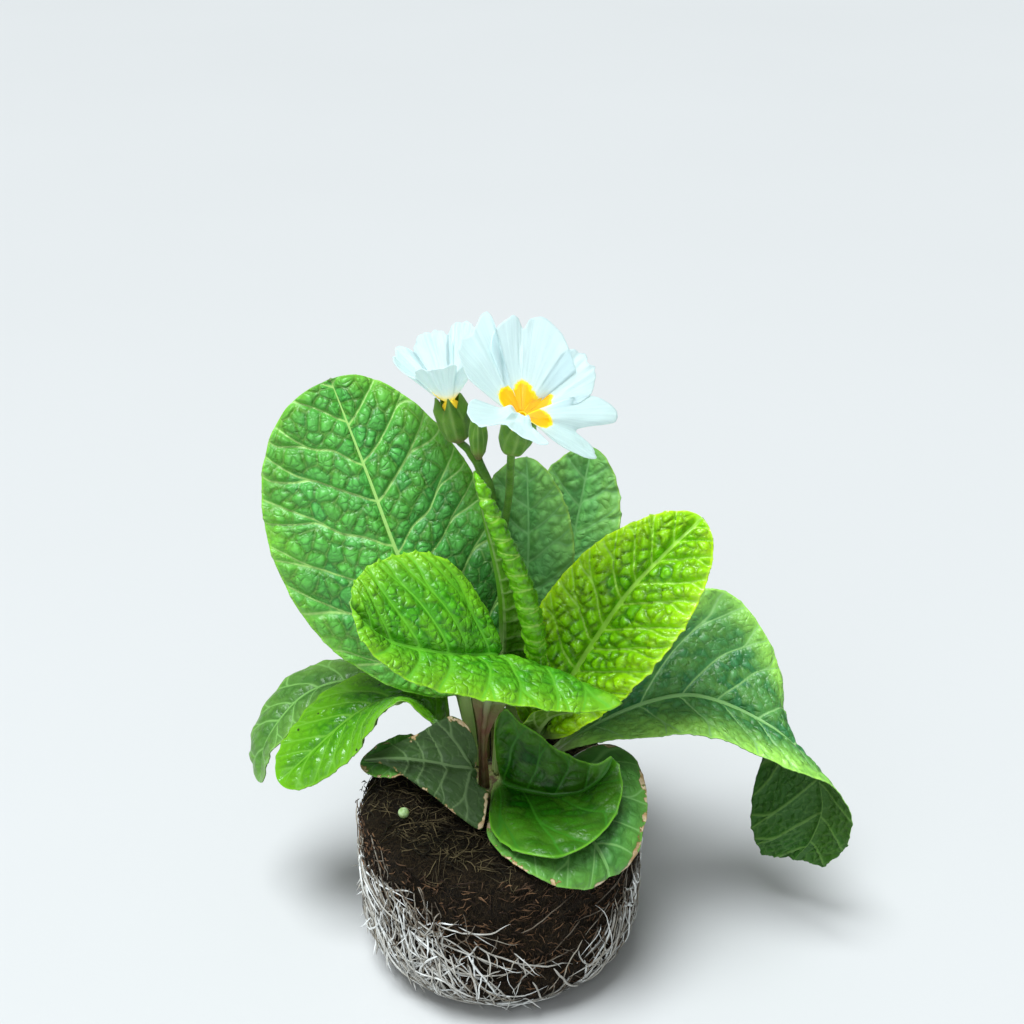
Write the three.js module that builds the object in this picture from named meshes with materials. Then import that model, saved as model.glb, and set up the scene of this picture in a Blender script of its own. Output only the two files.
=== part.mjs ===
// A primrose lifted out of its pot: a bare peat root ball bound by white roots, a crown,
// a rosette of wrinkled leaves, and two open flowers with a bud. Millimetres, +Z up.
// The origin is the middle of the root ball's flat bottom. +Y is the rosette's back.
import * as THREE from 'three';
import * as BufferGeometryUtils from 'three/addons/utils/BufferGeometryUtils.js';

// Driving dimensions.
const BALL_HEIGHT = 58;           // a nine centimetre pot's root ball
const BALL_RIM_RADIUS = 44.8;
const BALL_FOOT_RADIUS = 32;      // the flat that it stands on
const BALL_SEGMENTS = 36;
const MAT_THICKNESS = 1.2;        // roots felted against the pot's wall
const MAT_TOP = 33;
const GAP = 0.35;                 // air between touching pieces
const CROWN = { x: -2, y: 5, radius: 11, height: 3.4 };
const BLADE_THICKNESS = 0.9;
const MARGIN_THICKNESS = 0.5;
const RIB_DEPTH = 1.8;            // how far the midrib stands out under the leaf's base
const STALK_HALF_WIDTH = 1.9;
const LEAF_ROWS = 14;
const LEAF_COLUMNS = 3;           // on either side of the midrib
const SECTION_STEPS = 24;         // steps along the half section of a leaf
const COROLLA_THICKNESS = 0.6;
const TUBE_RADIUS = 2.1;          // the flower's tube, where the calyx holds it
const STEM_RADIUS = 1.2;

const lerp = THREE.MathUtils.lerp;
const radians = THREE.MathUtils.degToRad;

const plant = new THREE.Group();

function material(colour, roughness) {
  return new THREE.MeshStandardMaterial({ color: colour, roughness, metalness: 0 });
}

const PEAT = material('#2f2119', 0.95);
const ROOT = material('#cfc8b4', 0.8);
const YOUNG_LEAF = material('#7cb52a', 0.45);
const GROWN_LEAF = material('#3f8430', 0.4);
const OLD_LEAF = material('#2c5f2b', 0.45);
const STEM = material('#8fae5c', 0.5);
const PETAL = material('#eef1f2', 0.5);
const PISTIL = material('#b9c95a', 0.5);
const PRILL = material('#a9c08c', 0.6);

function add(name, geometry, surface) {
  const mesh = new THREE.Mesh(geometry, surface);
  mesh.name = name;
  plant.add(mesh);
  return mesh;
}

function solid(points, triangles) {
  const geometry = new THREE.BufferGeometry();
  geometry.setAttribute('position', new THREE.Float32BufferAttribute(points.flat(), 3));
  geometry.setIndex(triangles.flat());
  return geometry;
}

function vector(list) {
  return new THREE.Vector3(...list);
}

// --- Root ball -------------------------------------------------------------------------

// The ball keeps the pot's taper, with a foot that the roots have rounded off.
function ballRadius(z) {
  const foot = 1 - Math.min(z / 20, 1);
  return lerp(BALL_RIM_RADIUS - 1.5, BALL_RIM_RADIUS, z / BALL_HEIGHT) - 11 * foot ** 2.6;
}

function lathe(profile, segments) {
  const points = profile.map(([r, z]) => new THREE.Vector2(r, z));
  const geometry = new THREE.LatheGeometry(points, segments);
  geometry.rotateX(Math.PI / 2);
  geometry.deleteAttribute('uv');
  geometry.deleteAttribute('normal');
  return BufferGeometryUtils.mergeVertices(geometry, 1e-4);
}

function rootBall() {
  const wall = [1.5, 4, 8, 14, 22, 33, 44, 53].map((z) => [ballRadius(z), z]);
  const top = [[BALL_RIM_RADIUS - 2, BALL_HEIGHT - 1.5], [38, BALL_HEIGHT], [24, BALL_HEIGHT]];
  const profile = [[0, 0], [BALL_FOOT_RADIUS, 0], ...wall, ...top, [0, BALL_HEIGHT]];
  return lathe(profile, BALL_SEGMENTS);
}

function rootMat() {
  const heights = [1.5, 4, 8, 14, 22, MAT_TOP];
  const ring = (clear) => heights.map((z) => [ballRadius(z) + GAP + clear, z]);
  const inside = ring(0.15).reverse();
  const outside = ring(0.15 + MAT_THICKNESS);
  return lathe([...outside, ...inside, outside[0]], BALL_SEGMENTS);
}

add('root_ball', rootBall(), PEAT);
add('root_mat', rootMat(), ROOT);

function crown() {
  const geometry = lathe([[0, 0], [CROWN.radius, 0], [CROWN.radius * 0.85, CROWN.height * 0.6],
    [CROWN.radius * 0.45, CROWN.height], [0, CROWN.height]], 20);
  return geometry.translate(CROWN.x, CROWN.y, BALL_HEIGHT + GAP);
}

add('crown', crown(), STEM);

function prill() {
  const geometry = new THREE.SphereGeometry(1.7, 12, 8);
  geometry.deleteAttribute('uv');
  geometry.deleteAttribute('normal');
  return BufferGeometryUtils.mergeVertices(geometry, 1e-4).translate(-30, -14, BALL_HEIGHT + 1.75);
}

add('fertiliser_prill', prill(), PRILL);

// --- Leaves ----------------------------------------------------------------------------

// Reads a list of stations (numbers or vectors) at a place from 0, the base, to 1, the tip.
function station(list, place) {
  const step = place * (list.length - 1);
  const low = Math.min(Math.floor(step), list.length - 2);
  const part = step - low;
  if (typeof list[0] === 'number') return lerp(list[low], list[low + 1], part);
  return vector(list[low]).lerp(vector(list[low + 1]), part);
}

// How wide one half of the blade is, as a share of its greatest width.
function bladeShare(leaf, side, place) {
  const along = Math.max(0, (place - leaf.stalk) / (1 - leaf.stalk));
  const shift = Math.log(0.5) / Math.log(leaf.belly[side]);
  return Math.max(0, Math.sin(Math.PI * along ** shift)) ** leaf.blunt[side];
}

// The blade thins out towards its margin, and the midrib stands out below it.
function bladeDepth(place, reach) {
  const rib = reach === 0 ? RIB_DEPTH * (1 - 0.8 * place) : 0;
  return lerp(BLADE_THICKNESS, MARGIN_THICKNESS, reach) + rib;
}

// A leaf that follows its spine: its two halves fold up from the midrib and may roll in.
function leafSolid(leaf) {
  const rows = LEAF_ROWS;
  const half = leaf.columns ?? LEAF_COLUMNS;
  const columns = 2 * half;
  const curve = new THREE.CatmullRomCurve3(leaf.spine.map(vector), false, 'catmullrom', 0.5);
  const upper = [];
  const lower = [];
  for (let row = 0; row <= rows; row += 1) {
    const place = 1 - (1 - row / rows) ** 1.35;
    const point = curve.getPointAt(place);
    const along = curve.getTangentAt(place);
    const face = station(leaf.face, place);
    face.addScaledVector(along, -face.dot(along)).normalize();
    const across = along.clone().cross(face);
    for (let column = -half; column <= half; column += 1) {
      const side = column < 0 ? 0 : 1;
      const sign = column < 0 ? -1 : 1;
      const reach = Math.abs(column) / half;
      const stalk = STALK_HALF_WIDTH * (1 - 0.93 * place ** 6);
      const width = Math.hypot(stalk, leaf.width[side] * bladeShare(leaf, side, place));
      const fold = station(leaf.fold[side], place);
      const roll = station(leaf.roll[side], place);
      let out = 0;
      let up = 0;
      let tilt = fold;
      for (let step = 1; step <= SECTION_STEPS; step += 1) {
        const t = (reach * step) / SECTION_STEPS;
        tilt = radians(fold + roll * t ** leaf.rollPower);
        out += (Math.cos(tilt) * width * reach) / SECTION_STEPS;
        up += (Math.sin(tilt) * width * reach) / SECTION_STEPS;
      }
      const top = point.clone().addScaledVector(across, sign * out).addScaledVector(face, up);
      const bend = reach === 0 ? 0 : tilt;
      const normal = face.clone().multiplyScalar(Math.cos(bend));
      normal.addScaledVector(across, -sign * Math.sin(bend));
      upper.push(top.toArray());
      lower.push(top.addScaledVector(normal, -bladeDepth(place, reach)).toArray());
    }
  }
  return shell(upper, lower, rows, columns);
}

// Closes two like grids of points, an upper and a lower one, into one solid.
function shell(upper, lower, rows, columns) {
  const wide = columns + 1;
  const count = upper.length;
  const triangles = [];
  const quad = (a, b, c, d) => triangles.push([a, b, c], [a, c, d]);
  for (let row = 0; row < rows; row += 1) {
    for (let column = 0; column < columns; column += 1) {
      const a = row * wide + column;
      quad(a, a + 1, a + wide + 1, a + wide);
      quad(count + a, count + a + wide, count + a + wide + 1, count + a + 1);
    }
    const left = row * wide;
    const right = left + columns;
    quad(left, left + wide, count + left + wide, count + left);
    quad(right, count + right, count + right + wide, right + wide);
  }
  for (let column = 0; column < columns; column += 1) {
    const end = rows * wide + column;
    quad(column, count + column, count + column + 1, column + 1);
    quad(end, end + 1, count + end + 1, count + end);
  }
  return solid([...upper, ...lower], triangles);
}

// A leaf too twisted for folds is spanned from its midrib to routes along both margins.
function spannedLeaf(name, surface, spec) {
  const route = (points) => new THREE.CatmullRomCurve3(points.map(vector), false, 'catmullrom', 0.5);
  const midrib = route(spec.midrib);
  const margins = [route(spec.left), route(spec.right)];
  const half = LEAF_COLUMNS;
  const upper = [];
  const lower = [];
  for (let row = 0; row <= spec.rows; row += 1) {
    const place = row / spec.rows;
    const middle = midrib.getPoint(place);
    const [left, right] = margins.map((margin) => margin.getPoint(place));
    const face = right.clone().sub(left).cross(midrib.getTangent(place)).normalize();
    for (let column = -half; column <= half; column += 1) {
      const side = column < 0 ? 0 : 1;
      const reach = Math.abs(column) / half;
      const edge = side === 0 ? left : right;
      const bulge = spec.bulge[side] * Math.sin(Math.PI * reach) * middle.distanceTo(edge);
      const point = middle.clone().lerp(edge, reach).addScaledVector(face, bulge);
      upper.push(point.toArray());
      lower.push(point.addScaledVector(face, -bladeDepth(place, reach)).toArray());
    }
  }
  add(name, shell(upper, lower, spec.rows, 2 * half), surface);
}

const STILL = [[0, 0], [0, 0]];
const COMMON = { stalk: 0.2, belly: [0.5, 0.5], blunt: [0.5, 0.5], fold: STILL, roll: STILL, rollPower: 2 };

function leaf(name, surface, spec) {
  add(name, leafSolid({ ...COMMON, ...spec }), surface);
}

leaf('leaf_back_left', GROWN_LEAF, {
  spine: [[-8, 7.5, 62], [-13, 9, 95], [-29, 13, 131], [-40, 23, 159], [-51, 35, 185]],
  face: [[0.1, -0.9, 0.3], [0.06, -0.9, 0.45], [0.05, -0.9, 0.5]],
  stalk: 0.2, belly: [0.56, 0.44], blunt: [0.38, 0.42], width: [36.5, 32.5],
  fold: [[-6, -10, -12], [-2, -5, -12]],
});
spannedLeaf('leaf_front_arching', GROWN_LEAF, {
  midrib: [[-5, -4, 62], [-5, -6, 84], [-3, -6, 100], [0, -8, 111], [0, -12, 116], [-7, -17, 119],
    [-13, -23, 123], [-21, -27, 127], [-31, -30, 132], [-38, -31, 139], [-41.5, -31, 145]],
  left: [[-3.2, -4.5, 62], [-3.2, -6.5, 84], [6, -5, 97], [22, -11, 101], [36, -21, 104], [24, -28, 106],
    [8, -33, 111], [-8, -37, 117], [-24, -41, 125], [-36, -40, 135], [-41, -34, 142.5]],
  right: [[-6.8, -4, 62], [-6.8, -6, 84], [-9, -3, 101], [-8, 0, 117], [-7, -3, 130], [-11, -4, 138],
    [-18, -5, 145], [-26, -8, 148], [-35, -15, 149], [-40, -22, 148], [-41.5, -28, 147]],
  bulge: [0.04, 0.08], rows: 24,
});
leaf('leaf_young_curled', YOUNG_LEAF, {
  spine: [[-1, 4, 62], [1, 5, 95], [2, 1, 121], [0, -1, 141], [-7, -1, 171]],
  face: [[0, 0.95, 0], [-0.1, 0.9, 0], [-0.2, 0.9, -0.1]],
  stalk: 0.25, belly: [0.34, 0.5], blunt: [0.42, 0.5], width: [24, 1.5],
  fold: [[0, 0, -30, -60], [40, 40, 40, 40]],
  roll: [[-190, -250, -280, -300], [0, 0, 0, 0]], rollPower: 2.5, columns: 9,
});
leaf('leaf_right_bright', YOUNG_LEAF, {
  spine: [[7, 3, 62], [16, 5, 82], [23, 7, 97], [38, 9, 123], [51, 13, 137], [62, 18, 146]],
  face: [[-0.3, -0.8, 0.5], [-0.35, -0.75, 0.55], [-0.3, -0.7, 0.6]],
  stalk: 0.15, belly: [0.42, 0.55], blunt: [0.5, 0.5], width: [20, 23],
  fold: [[25, 15, 10], [25, 15, 5]],
});
leaf('leaf_back_dark', GROWN_LEAF, {
  spine: [[2, 15, 62], [6, 22, 98], [9, 27, 128], [8.5, 31, 160.5]],
  face: [[-0.05, -0.9, 0.3], [-0.1, -0.9, 0.4]],
  stalk: 0.2, belly: [0.6, 0.6], blunt: [0.5, 0.5], width: [18, 15],
  fold: [[0, -5], [15, 10]],
});
leaf('leaf_back_right', GROWN_LEAF, {
  spine: [[8, 14, 62], [16, 30, 95], [23.5, 41, 125], [29.5, 48, 156]],
  face: [[0, -0.9, 0.3], [-0.1, -0.9, 0.4]],
  stalk: 0.2, belly: [0.6, 0.6], blunt: [0.5, 0.5], width: [18, 15],
  fold: [[15, 10], [15, 10]],
});
spannedLeaf('leaf_right_drooping', GROWN_LEAF, {
  midrib: [[10, 7, 62], [19, 8.5, 69], [30, 12, 75], [45, 16, 80], [58, 19, 81.5], [68, 19.5, 80],
    [80, 17, 76], [92, 11, 71], [101, 6, 63], [105, 4, 50], [103, 5, 36], [98, 8, 24]],
  left: [[10.2, 9, 62], [21, 13, 70], [33, 20, 81], [46, 30, 95], [62, 40, 107], [76, 41, 106],
    [87, 35, 94], [92, 28, 79], [88, 22, 61], [84.5, 18.5, 45], [84.5, 16, 31], [88, 14, 21]],
  right: [[9.8, 5, 62], [19, 4, 69.5], [31, 3, 74], [46, 2, 77], [58, 2, 78], [68, 1, 76.5],
    [80, -1, 73], [92, -4, 67.5], [104, -5, 63], [111, -6, 52], [112, -3, 38], [106, 2, 25]],
  bulge: [-0.06, -0.04], rows: 26,
});
leaf('leaf_left_low', YOUNG_LEAF, {
  spine: [[-12.5, 5, 62], [-21, 9, 80], [-31, 13, 86], [-46, 12, 80], [-61, 7, 68], [-71, 3.5, 59.5]],
  face: [[0, 0.2, 1], [-0.1, 0.1, 1], [-0.3, -0.3, 0.9], [-0.4, -0.5, 0.8]],
  stalk: 0.15, belly: [0.46, 0.54], blunt: [0.4, 0.5], width: [15.5, 15.5],
  fold: [[24, 26, 2, -5], [20, 5, 0]],
});
leaf('leaf_left_arching', OLD_LEAF, {
  spine: [[-12.5, 10, 62], [-26, 20, 79], [-45, 29, 82], [-64, 30, 76], [-77, 22, 63], [-79, 16, 50]],
  face: [[0, 0.7, 0.7], [-0.1, 0.5, 0.85], [-0.35, -0.1, 0.9], [-0.75, -0.35, 0.5]],
  stalk: 0.25, blunt: [0.4, 0.4], width: [10.5, 12],
  fold: [[-20, -20, 10], [20, 10, 0]],
});
spannedLeaf('leaf_turned_over', OLD_LEAF, {
  midrib: [[-10.5, -4, 62], [-9.5, -8, 67], [-8.5, -11, 72], [-10, -12, 75.5], [-14, -11, 75.5],
    [-18.6, -8.5, 75], [-25, -4.5, 73.3], [-31.4, -1.5, 71.6], [-38, 2.5, 68.8], [-43, 5, 66.6]],
  left: [[-10.5, -3.2, 63], [-8.5, -7.5, 70], [-7, -11, 80], [-9.8, -8.5, 88], [-14.8, -5, 89.5],
    [-19.8, -2.6, 85.5], [-25, -0.6, 80.5], [-32.5, 3, 74.1], [-39, 4.5, 69.5], [-43.5, 5.5, 67.3]],
  right: [[-10.5, -4.8, 61.2], [-7, -10, 64], [-4, -15, 68.5], [-4, -19.5, 65.5], [-6, -24, 60.8],
    [-14, -18, 62.5], [-21, -11.5, 64.5], [-28, -5, 65.5], [-36, 1.5, 66.8], [-42.5, 4.5, 66]],
  bulge: [0.06, 0.1], rows: 20,
});
leaf('leaf_left_old', OLD_LEAF, {
  spine: [[-13.8, -0.5, 62], [-20, 1.8, 65.2], [-30, 7, 65.5], [-45, 10, 62]],
  face: [[0, -0.2, 1], [0, -0.2, 1], [-0.2, -0.2, 1]],
  stalk: 0.12, width: [9, 9],
  fold: [[10, 10, 0], [10, 10, 0]],
});
spannedLeaf('leaf_front_cupped', GROWN_LEAF, {
  midrib: [[-1, -6, 66], [1, -7, 66], [4, -9, 66], [8, -11, 66], [12.5, -12.5, 66], [17, -13.5, 66],
    [21, -13.5, 66.5], [25, -13, 67], [28.5, -11.5, 68.5], [32, -9.5, 71], [35, -7, 75]],
  left: [[0, -5, 66.5], [-1, -4.5, 75], [-1.5, -4.5, 85], [1.5, -4.5, 92], [6, -5, 87.2], [12, -5.5, 83.3],
    [16, -6, 79], [20, -6.5, 77], [24, -7, 74.7], [30, -7.5, 73.3], [34.5, -6.5, 75.5]],
  right: [[-2, -7, 65.6], [-3, -13, 65], [-3.5, -22, 64.6], [-2, -30, 64.3], [2, -36, 64], [8, -40.5, 64],
    [16, -42, 64], [25, -38, 64.6], [33, -29, 66], [37.5, -18, 69.5], [37, -9.5, 74.5]],
  bulge: [-0.08, 0.04], rows: 24,
});
spannedLeaf('leaf_front_old', OLD_LEAF, {
  midrib: [[4, -5.5, 61.6], [8, -8.5, 61.6], [13, -12, 61.6], [18, -17, 61.6], [23, -22, 61.5],
    [27, -27, 60.8], [30, -31.5, 58.8], [32.5, -35, 55], [33, -36, 52]],
  left: [[5, -5, 61.7], [16, 2, 63], [31, 11, 67], [42, 7, 66.5], [45.5, -2, 64],
    [46, -12, 61.5], [44.5, -20, 59], [41.5, -28.5, 54.5], [36, -34, 51.5]],
  right: [[3, -6.5, 61.6], [-2, -14, 61.3], [-4, -24, 61.2], [-1, -34, 60.8], [5, -40.5, 60],
    [12, -43.8, 57.5], [19, -44, 54.5], [26, -41, 51.5], [30, -38.3, 51]],
  bulge: [0.03, 0], rows: 20,
});
leaf('leaf_front_small', YOUNG_LEAF, {
  spine: [[3.5, -1.5, 62], [9, -0.5, 76], [15, -1, 87], [23, -4.5, 91]],
  face: [[-0.3, 0.7, 0.6], [-0.3, 0.7, 0.6]],
  stalk: 0.1, belly: [0.6, 0.6], blunt: [0.6, 0.6], width: [6, 7],
  fold: [[10, 10], [10, 10]],
});
leaf('leaf_rear_left', GROWN_LEAF, {
  spine: [[-8, 19, 60], [-16, 36, 84], [-26, 54, 90], [-36, 74, 78]],
  face: [[0, -0.5, 0.9], [0, 0, 1], [-0.2, 0.4, 0.9]],
  stalk: 0.25, width: [24, 22],
  fold: [[20, 10, 5], [20, 10, 5]],
});
leaf('leaf_rear_right', GROWN_LEAF, {
  spine: [[4, 19, 60], [12, 37, 80], [26, 55, 86], [42, 70, 72]],
  face: [[0, -0.5, 0.9], [0, 0, 1], [0.2, 0.4, 0.9]],
  stalk: 0.25, width: [22, 24],
  fold: [[20, 10, 5], [20, 10, 5]],
});

// --- Flowers ---------------------------------------------------------------------------

const PETAL_STEPS = 7;            // segments along the rim of one petal
const LIMB_STEPS = 4;

// A frame that stands on a flower: out is its axis, and east and north lie across it.
function flowerFrame(throat, axis) {
  const out = vector(axis).normalize();
  const east = new THREE.Vector3(0, 1, 0).cross(out).normalize();
  const north = out.clone().cross(east);
  return (radius, azimuth, height) => vector(throat)
    .addScaledVector(east, radius * Math.cos(azimuth))
    .addScaledVector(north, radius * Math.sin(azimuth))
    .addScaledVector(out, height)
    .toArray();
}

// Joins rings of equal length, from one pole to the other, into one closed solid.
function rings(first, loops, last) {
  const wide = loops[0].length;
  const points = [first, ...loops.flat(), last];
  const at = (loop, step) => 1 + loop * wide + (step % wide);
  const triangles = [];
  for (let step = 0; step < wide; step += 1) {
    triangles.push([0, at(0, step), at(0, step + 1)]);
    triangles.push([points.length - 1, at(loops.length - 1, step + 1), at(loops.length - 1, step)]);
    for (let loop = 0; loop + 1 < loops.length; loop += 1) {
      triangles.push([at(loop, step), at(loop + 1, step), at(loop + 1, step + 1)]);
      triangles.push([at(loop, step), at(loop + 1, step + 1), at(loop, step + 1)]);
    }
  }
  return solid(points, triangles);
}

// The rim of a corolla of five notched petals: each step's azimuth, reach and rise.
function corollaRim(petals) {
  const steps = [];
  petals.forEach((petal, index) => {
    const next = petals[(index + 1) % petals.length];
    const before = petals[(index + petals.length - 1) % petals.length];
    const turn = (degrees) => ((degrees % 360) + 360) % 360;
    const backward = turn(petal.azimuth - before.azimuth) / 2;
    const forward = turn(next.azimuth - petal.azimuth) / 2;
    for (let step = 0; step < PETAL_STEPS; step += 1) {
      const across = -1 + (2 * step) / PETAL_STEPS;
      const azimuth = petal.azimuth + across * (across < 0 ? backward : forward);
      const neighbour = across < 0 ? before : next;
      const share = 0.5 * Math.abs(across) ** 3;
      const rise = lerp(petal.rise, neighbour.rise, share);
      const notch = 0.1 * Math.exp(-((across / 0.2) ** 2));
      const reach = lerp(petal.reach, neighbour.reach, share);
      const length = reach * (1 - 0.3 * Math.abs(across) ** 4 - notch);
      steps.push({ azimuth: radians(azimuth), length, rise: radians(rise) });
    }
  });
  return steps;
}

function corolla(flower) {
  const place = flowerFrame(flower.throat, flower.axis);
  const rim = corollaRim(flower.petals);
  const tubeRing = (radius, height) => rim.map(({ azimuth }) => place(radius, azimuth, height));
  const limbRing = (share, drop) => rim.map(({ azimuth, length, rise }) => {
    const along = lerp(TUBE_RADIUS, length, share);
    const droop = 2.2 * share ** 2;
    return place(along * Math.cos(rise), azimuth, along * Math.sin(rise) - droop - drop);
  });
  const shares = Array.from({ length: LIMB_STEPS }, (_, step) => (step + 1) / LIMB_STEPS);
  const bore = TUBE_RADIUS - COROLLA_THICKNESS;
  return rings(
    place(0, 0, 1 - flower.tube),
    [
      tubeRing(bore, 1 - flower.tube),
      tubeRing(bore, -1),
      ...shares.map((share) => limbRing(share, 0)),
      ...shares.map((share) => limbRing(share, COROLLA_THICKNESS)).reverse(),
      tubeRing(TUBE_RADIUS, -2),
      tubeRing(TUBE_RADIUS, -flower.tube),
    ],
    place(0, 0, -flower.tube),
  );
}

// A toothed cup round the lower tube, ribbed where its five sepals join.
function calyx(flower) {
  const place = flowerFrame(flower.throat, flower.axis);
  const steps = Array.from({ length: 20 }, (_, step) => (step * Math.PI) / 10);
  const bore = TUBE_RADIUS + GAP;
  const ring = (radius, height) => steps.map((azimuth) => place(radius, azimuth, height));
  const edge = (step) => (step % 4 === 0 ? flower.point : flower.point - 2.6);
  const teeth = (radius) => steps.map((azimuth, step) => place(radius, azimuth, edge(step)));
  const floor = -flower.tube - GAP;
  return rings(
    place(0, 0, floor),
    [ring(bore, floor), ring(bore, -7), teeth(bore + 0.3), teeth(bore + 0.8),
      ring(flower.cup, -7), ring(flower.cup, floor + 4), ring(flower.cup * 0.7, floor - 0.6)],
    place(0, 0, floor - 1.2),
  );
}

function pistil(flower) {
  const place = flowerFrame(flower.throat, flower.axis);
  const steps = Array.from({ length: 8 }, (_, step) => (step * Math.PI) / 4);
  const ring = (radius, height) => steps.map((azimuth) => place(radius, azimuth, height));
  return rings(
    place(0, 0, -0.6),
    [ring(0.7, -0.9), ring(0.8, -1.4), ring(0.35, -2.2), ring(0.35, 2 - flower.tube)],
    place(0, 0, 2 - flower.tube - 0.2),
  );
}

function stem(route) {
  const path = new THREE.CatmullRomCurve3(route.map(vector), false, 'catmullrom', 0.5);
  const section = new THREE.Shape();
  section.absarc(0, 0, STEM_RADIUS, 0, 2 * Math.PI);
  const geometry = new THREE.ExtrudeGeometry(section, { steps: 14, curveSegments: 4, extrudePath: path });
  geometry.deleteAttribute('uv');
  geometry.deleteAttribute('normal');
  return BufferGeometryUtils.mergeVertices(geometry, 1e-4);
}

// Where a flower's stem meets its calyx, a gap below it.
function stemTop(flower) {
  return flowerFrame(flower.throat, flower.axis)(0, 0, -flower.tube - 2 * GAP - 1.4);
}

function openFlower(name, flower) {
  add(`corolla_${name}`, corolla(flower), PETAL);
  add(`calyx_${name}`, calyx(flower), STEM);
  add(`pistil_${name}`, pistil(flower), PISTIL);
  add(`stem_${name}`, stem([...flower.route, stemTop(flower)]), STEM);
}

openFlower('main_flower', {
  throat: [6.6, -10, 192.8],
  axis: [0.18, -0.45, 0.87],
  tube: 15,
  cup: 4.9,
  point: -2.6,
  petals: [{ azimuth: 2, rise: 2, reach: 25 }, { azimuth: 46, rise: 15, reach: 27 },
    { azimuth: 92, rise: 20, reach: 31 }, { azimuth: 137, rise: 22, reach: 30 },
    { azimuth: 245, rise: 35, reach: 22.5 }],
  route: [[-1.5, 12, 62], [-1.5, 17, 90], [0, 23, 120], [1.5, 24.9, 138], [3, 16, 155]],
});
openFlower('left_flower', {
  throat: [-14.5, 19, 185.05],
  axis: [-0.2, 0, 0.98],
  tube: 12.5,
  cup: 5,
  point: -1.2,
  petals: [{ azimuth: 66, rise: 42, reach: 27 }, { azimuth: 101, rise: 44, reach: 25 },
    { azimuth: 145, rise: 39, reach: 24 }, { azimuth: 250, rise: 58, reach: 20 },
    { azimuth: 340, rise: 48, reach: 23.5 }],
  route: [[-8, 15, 62], [-8, 21, 90], [-7.5, 25.5, 120], [-5.6, 30.2, 152], [-8.5, 24, 165]],
});

const BUD = { foot: [-6, 13, 168.5], radius: 2.9 };
const BUD_STEM_TOP = [-6, 13.8, BUD.foot[2] - GAP - 0.2];

function bud() {
  const geometry = lathe([[0, 0], [1.2, 0], [0.8 * BUD.radius, 3], [BUD.radius, 7], [0.8 * BUD.radius, 11],
    [0.9, 14.6], [0, 15]], 12);
  return geometry.translate(...BUD.foot);
}

add('bud', bud(), STEM);
const BUD_ROUTE = [[-4.5, 12, 62], [-4.5, 18, 90], [-4, 23.5, 120], [-1.8, 27.2, 147], BUD_STEM_TOP];
add('stem_bud', stem(BUD_ROUTE), STEM);

export default plant;
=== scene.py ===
# %% [markdown]
# # A primrose on its bare root ball
#
# The plant has been lifted out of its pot. A plug of dark peat, felted over with white roots,
# carries a rosette of wrinkled leaves and two open flowers. The packed CAD model fixes where
# every piece is and how big it is. This lesson gives each piece its real surface.
#
# Blender counts in metres and plants are easier to think of in millimetres. So the plant's sizes
# are written in millimetres, and `MM` turns them into metres when a mesh is made.

import math

import bpy
import numpy as np
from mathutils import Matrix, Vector


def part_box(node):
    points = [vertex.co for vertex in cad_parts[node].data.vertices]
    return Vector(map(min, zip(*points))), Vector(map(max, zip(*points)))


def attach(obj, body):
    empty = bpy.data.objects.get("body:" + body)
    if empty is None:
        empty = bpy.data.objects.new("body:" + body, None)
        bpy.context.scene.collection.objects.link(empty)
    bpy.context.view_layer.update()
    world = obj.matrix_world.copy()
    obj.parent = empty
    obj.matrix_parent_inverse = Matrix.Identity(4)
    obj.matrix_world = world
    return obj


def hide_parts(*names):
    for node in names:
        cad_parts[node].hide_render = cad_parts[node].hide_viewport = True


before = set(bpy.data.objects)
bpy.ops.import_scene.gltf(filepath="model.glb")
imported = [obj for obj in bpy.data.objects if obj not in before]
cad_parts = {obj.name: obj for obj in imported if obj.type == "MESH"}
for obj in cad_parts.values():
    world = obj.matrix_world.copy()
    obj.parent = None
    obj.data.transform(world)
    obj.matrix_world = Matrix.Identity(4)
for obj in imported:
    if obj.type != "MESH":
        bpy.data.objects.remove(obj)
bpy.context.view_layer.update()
MM = 0.001
print("CAD nodes:", len(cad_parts))

# %% [markdown]
# ## Camera
#
# A camera is set by four facts: where it stands, how far it dips, how far it is turned and how
# wide it sees. Seen from the middle of the root ball's top, the eye stands 36 degrees
# above level and a little over half a metre away, as a person does who looks down on a plant on
# a bench. A camera that isn't turned looks straight down, so 90 degrees less its dip tips it up.

# %% Camera
CAMERA_PLACE = (0, -453, 387.2)
CAMERA_DIP = 26.903     # degrees below level
CAMERA_YAW = -0.483     # degrees, to the right
LENS_ANGLE = 32.87      # degrees from one side of its view to the other

camera = bpy.data.objects.new("camera", bpy.data.cameras.new("camera"))
camera.location = Vector(CAMERA_PLACE) * MM
camera.rotation_euler = (math.radians(90 - CAMERA_DIP), 0, math.radians(CAMERA_YAW))
camera.data.angle = math.radians(LENS_ANGLE)
camera.data.clip_start = 10 * MM
bpy.context.scene.collection.objects.link(camera)
bpy.context.scene.camera = camera
print("camera at", tuple(round(value, 3) for value in camera.location))

# %% [markdown]
# ## Light and floor
#
# Leaves and petals look best under a broad, soft light, like a bright cloudy sky. A sun lamp
# with a very wide angle gives that: its shadows are soft, it lights the whole floor evenly, and
# the leaves mirror its wide disc as a cool sheen on every wrinkle. It stands almost overhead, so
# that the wrinkles of the upright leaves show. A weak lamp fills the front, and the world adds
# an even glow. A camera that looks past the floor sees that world as a pale backdrop: the Light
# Path node makes it brighter for the camera's own rays, and leaves the light as it is. The
# floor is one big pale plane, plain on purpose. The Standard view keeps strong greens strong,
# where the default one would wash them out.

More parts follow.
